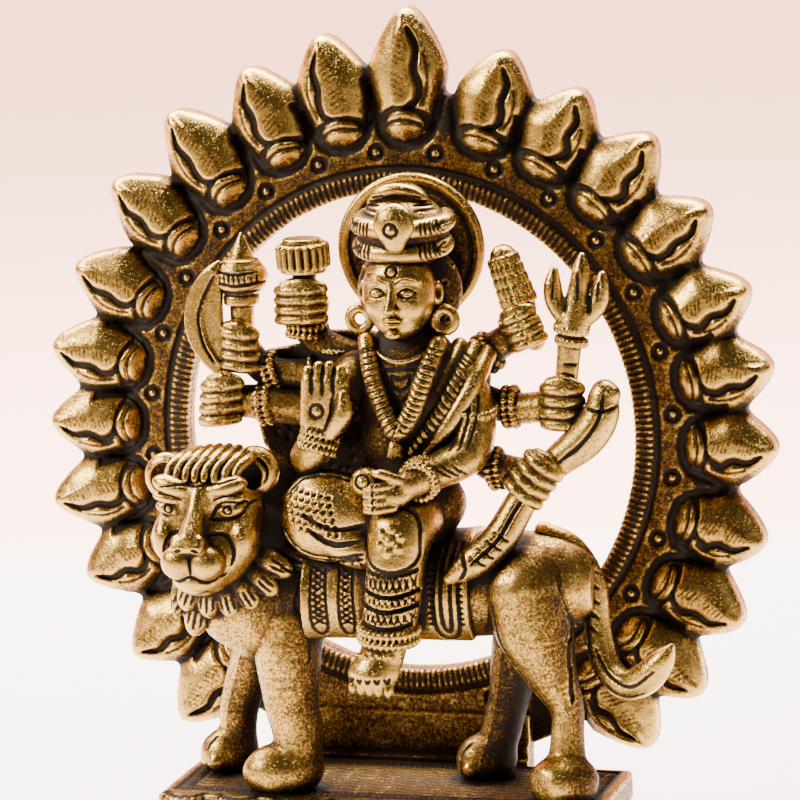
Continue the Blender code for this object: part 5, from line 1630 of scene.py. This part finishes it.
def make_blessing_arm():
    clay = Clay("arm_blessing", margin=2.0)
    clay.add(Stroke(((-4.6, -2.6, 91, 4.0), (-9.2, -5.0, 83, 3.6), (-12.4, -7.2, 77.4, 3.3),
                     (-10.6, -9.4, 79.0, 3.0),
                     (-9.0, -10.2, 82.0, 2.6)), steps=5), blend=0)
    clay.add(Block((-7.9, -11.0, 88.0), (4.5, 1.8, 5.4), (0, 3, 0), 1.7), blend=0.8)
    for number in range(4):
        x = -10.9 + 2.0 * number
        top = 93.6 + (0.0, 0.8, 0.9, 0.2)[number]
        clay.add(bar((x + 0.1, -11.2, 88.0, 1.25), (x, -11.4, 91.0, 1.2), (x + 0.1, -11.2, top, 1.0),
                     steps=3), blend=0.1)
        if number:
            clay.line([(x - 1.0, 95.0), (x - 1.0, 92.4), (x - 0.9, 89.6)], 0.55)
    clay.add(bar((-6.6, -12.0, 82.6, 1.4), (-4.2, -12.7, 86.0, 1.75), (-4.0, -12.6, 89.6, 1.05), steps=4),
             blend=0.2)
    clay.line([(-7.4, 83.4), (-6.4, 86.2), (-6.0, 89.4)], 0.55)
    clay.punch(-9.0, 86.6, 1.2, 0.36)
    clay.add(Egg((-9.0, -12.6, 86.6), (0.5, 0.4, 0.5)), blend=0.05)
    cuff(clay, (-9.6, -10.0, 80.6), 3.2, 0.75, (-12, 14, 0), rows=3, ribs=22)
    cuff(clay, (-7.6, -4.2, 86.0), 4.1, 0.7, (28, -30, 0), rows=2, ribs=26)
    fire(clay, "arm_blessing", "arm")


def make_fruit_arm():
    clay = Clay("arm_fruit", margin=2.0)
    clay.add(Stroke(((15.4, -2.0, 91, 3.9), (17.4, -3.6, 84, 3.9), (16.8, -6.0, 78.4, 3.7),
                     (12.4, -10.4, 76.0, 3.2),
                     (7.6, -13.4, 74.0, 2.7)), steps=5), blend=0)
    clay.add(Egg((4.2, -14.4, 72.2), (4.2, 2.6, 2.5)), blend=0.6)
    for number in range(4):
        z = 74.2 - 1.35 * number
        clay.add(bar((5.4, -15.6, z, 0.85), (2.6, -16.8, z - 0.3, 0.85), (0.6, -16.2, z - 0.5, 0.7),
                     steps=3), blend=0.1)
        clay.line([(2.4, z + 0.4), (2.1, z - 0.4)], 0.3)
    clay.add(bar((6.6, -15.4, 75.0, 1.0), (4.0, -16.4, 76.2, 1.0), (2.4, -16.4, 76.4, 0.7), steps=3),
             blend=0.15)
    cuff(clay, (9.6, -12.2, 74.8), 3.25, 0.8, (-60, 58, 20), rows=3, ribs=22)
    cuff(clay, (17.0, -3.2, 86.0), 4.2, 0.75, (18, 12, 0), rows=2, ribs=26)
    for number in range(4):
        clay.line([(13.6 + 1.5 * number, 92.4), (14.4 + 1.5 * number, 86.0), (13.0 + 1.5 * number, 79.6)],
                  0.36)
    for number in range(3):
        clay.line([(12.0 + 1.6 * number, 77.4), (15.0 + 1.2 * number, 75.2)], 0.3)
    fire(clay, "arm_fruit", "arm")


# How wide and tall the fists are.
FIST_SIZE = (6.2, 8.4)
FIST_SIZES = {"arm_discus": (8.4, 7.0), "arm_mace": (5.8, 8.0), "arm_club": (5.8, 6.8)}


def make_back_arms():
    """The six arms behind, each with bangles and a fist."""
    arms = (
        ("arm_sword", ((-4.0, 2.2, 86, 3.3), (-14.0, 1.8, 84.6, 3.2), (-22.6, 1, 85.6, 3.3),
                       (-28.6, 0.4, 86.0, 2.8)),
         (-30.2, -0.2, 86.0), (1, 0, 0.1), (0.1, 0, 1), ((-22.6, 1, 85.4), (0, 84, 0)), (-14.4, 1.8, 84.6)),
        ("arm_mace", ((-5.0, 3.2, 91, 3.1), (-15.0, 3.4, 90.4, 2.9), (-22.4, 2.8, 91.0, 2.8),
                      (-26.2, 2.2, 94.4, 2.7)),
         (-27.0, 1.6, 95.4), (1, 0, -0.1), (0, 0, 1), ((-21.6, 2.8, 90.8), (0, 70, 0)), (-13.4, 3.4, 90.6)),
        ("arm_discus", ((-4.2, 3.8, 93, 3.1), (-11.6, 4.2, 95.6, 2.9), (-15.2, 3.8, 99.0, 2.8),
                        (-15.4, 3.4, 102, 2.6)),
         (-15.4, 2.8, 103.6), (1, 0, 0.05), (0, 0, 1), ((-15.3, 3.8, 98.6), (0, 4, 0)), (-9.6, 4.0, 95.0)),
        ("arm_bow", ((13.0, 1.6, 82, 3.3), (16.6, 0.4, 77.6, 3.1), (20.4, -1.2, 75.0, 3.0),
                     (26.6, -2.8, 74.0, 3.0)),
         (28.4, -3.8, 73.8), (0.8, 0, -0.6), (0.6, 0, 0.8), ((20.6, -1.2, 74.8), (0, 80, 0)),
         (15.6, 0.8, 78.6)),
        ("arm_trident", ((14.6, 2.2, 88, 3.1), (19.6, 1.8, 86.0, 2.9), (25.0, 0.8, 85.4, 2.8),
                         (31.0, 0.1, 86.2, 2.9)),
         (33.2, -0.4, 86.4), (1, 0, 0), (0, 0, 1), ((23.0, 1.2, 85.6), (0, 86, 0)), (18.0, 1.9, 86.6)),
        ("arm_club", ((14.2, 3.4, 92.6, 2.9), (17.6, 3.6, 94.6, 2.9), (21.0, 3.2, 96.8, 2.8),
                      (24.6, 3.1, 98.8, 2.8)),
         (25.6, 2.6, 99.6), (0.9, 0, 0.4), (-0.4, 0, 0.9), ((18.4, 3.5, 95.0), (0, 56, 0)),
         (15.6, 3.5, 93.4)))
    for name, rows, hand, out, up, (at, tilt), upper in arms:
        clay = Clay(name, margin=1.8)
        clay.add(Stroke(rows, steps=4), blend=0)
        wide, tall = FIST_SIZES.get(name, FIST_SIZE)
        clay.add(Egg(hand, (wide * 0.56, 2.9, tall * 0.5)), blend=0.8)
        fist(clay, (hand[0], hand[1] - 1.4, hand[2]), out, up, (wide, tall), 4, 1.3)
        cuff(clay, at, 3.2, 0.85, tilt, rows=2, ribs=20)
        cuff(clay, upper, 3.3, 0.6, tilt, rows=1, ribs=22)
        # paint: painted shade, each arm darker the further back it reaches.
        fire(clay, name, "arm", paint=lambda spots: 0.10 + 0.07 * np.clip(spots[:, 1] + 2, 0, 6))


# --------------------------------------------------------------------- fasteners

def make_screws():
    """Slotted screws under the paws and behind the aureole, and the pin under the seat."""
    names = ["paw_screw_near_front", "paw_screw_far_front", "paw_screw_near_hind", "paw_screw_far_hind",
             "aureole_screw_left", "aureole_screw_right"]
    for name in names:
        low, high = corners(name)
        clay = Clay(name, HEAD_STEP, margin=0.8)
        x, y, z = (low + high) / 2 - STATUE
        if name.startswith("paw"):
            clay.add(Drum((x, y, low[2] + 1.1), 2.75, 1.1, edge=0.35),
                     bar((x, y, low[2] + 1, 1.3), (x, y, high[2] - 0.3, 1.25), steps=1), blend=0.1)
            clay.carve(Block((x, y, low[2]), (4, 0.4, 0.9), edge=0.05), blend=0)
        else:
            head = high[1] - STATUE[1]
            clay.add(Drum((x, head - 1.1, z), 2.75, 1.08, (90, 0, 0), edge=0.35), blend=0)
            clay.carve(Block((x, head, z), (4, 0.9, 0.4), (0, 30, 0), edge=0.05), blend=0)
        fire(clay, name, "steel", roughen=0.01, slot="steel_screws", kind="turned")
    clay = Clay("seat_pin", margin=0.8)
    low, high = corners("seat_pin")
    x, y, z = (low + high) / 2 - STATUE
    clay.add(Drum((x, y, z), (high - low)[0] / 2, (high - low)[2] / 2, edge=0.3), blend=0)
    fire(clay, "seat_pin", "arm", roughen=0.02, slot="pin_brass", kind="rod")


# ------------------------------------------------------------------------- build

set_camera()
set_room()
make_aureole()
make_pedestal()
make_lion_body()
make_lion_legs()
make_lion_mane()
make_lion_head()
make_saddle()
make_torso()
make_folded_leg()
make_hanging_leg()
make_face()
make_headdress()
make_dress()
make_attributes()
make_blessing_arm()
make_fruit_arm()
make_back_arms()
make_screws()
# Each look gives polish, then a darkening that ages the casting and also scales its painted shade.
looks = {"aureole": brass("aureole_casting", 0.9, 1.15), "pedestal": brass("pedestal_casting", 0.6, 1.3),
         "lion": brass("lion_casting", 1.1, 1.0), "saddle": brass("saddle_casting", 0.9, 1.1),
         "figure": brass("figure_casting", 1.1, 0.95), "ornament": brass("ornament_casting", 1.0, 1.05),
         "attribute": brass("attribute_casting", 1.0, 1.2), "arm": brass("arm_casting", 1.0, 1.35),
         "steel": steel("screw_steel")}
finish_pieces(looks)
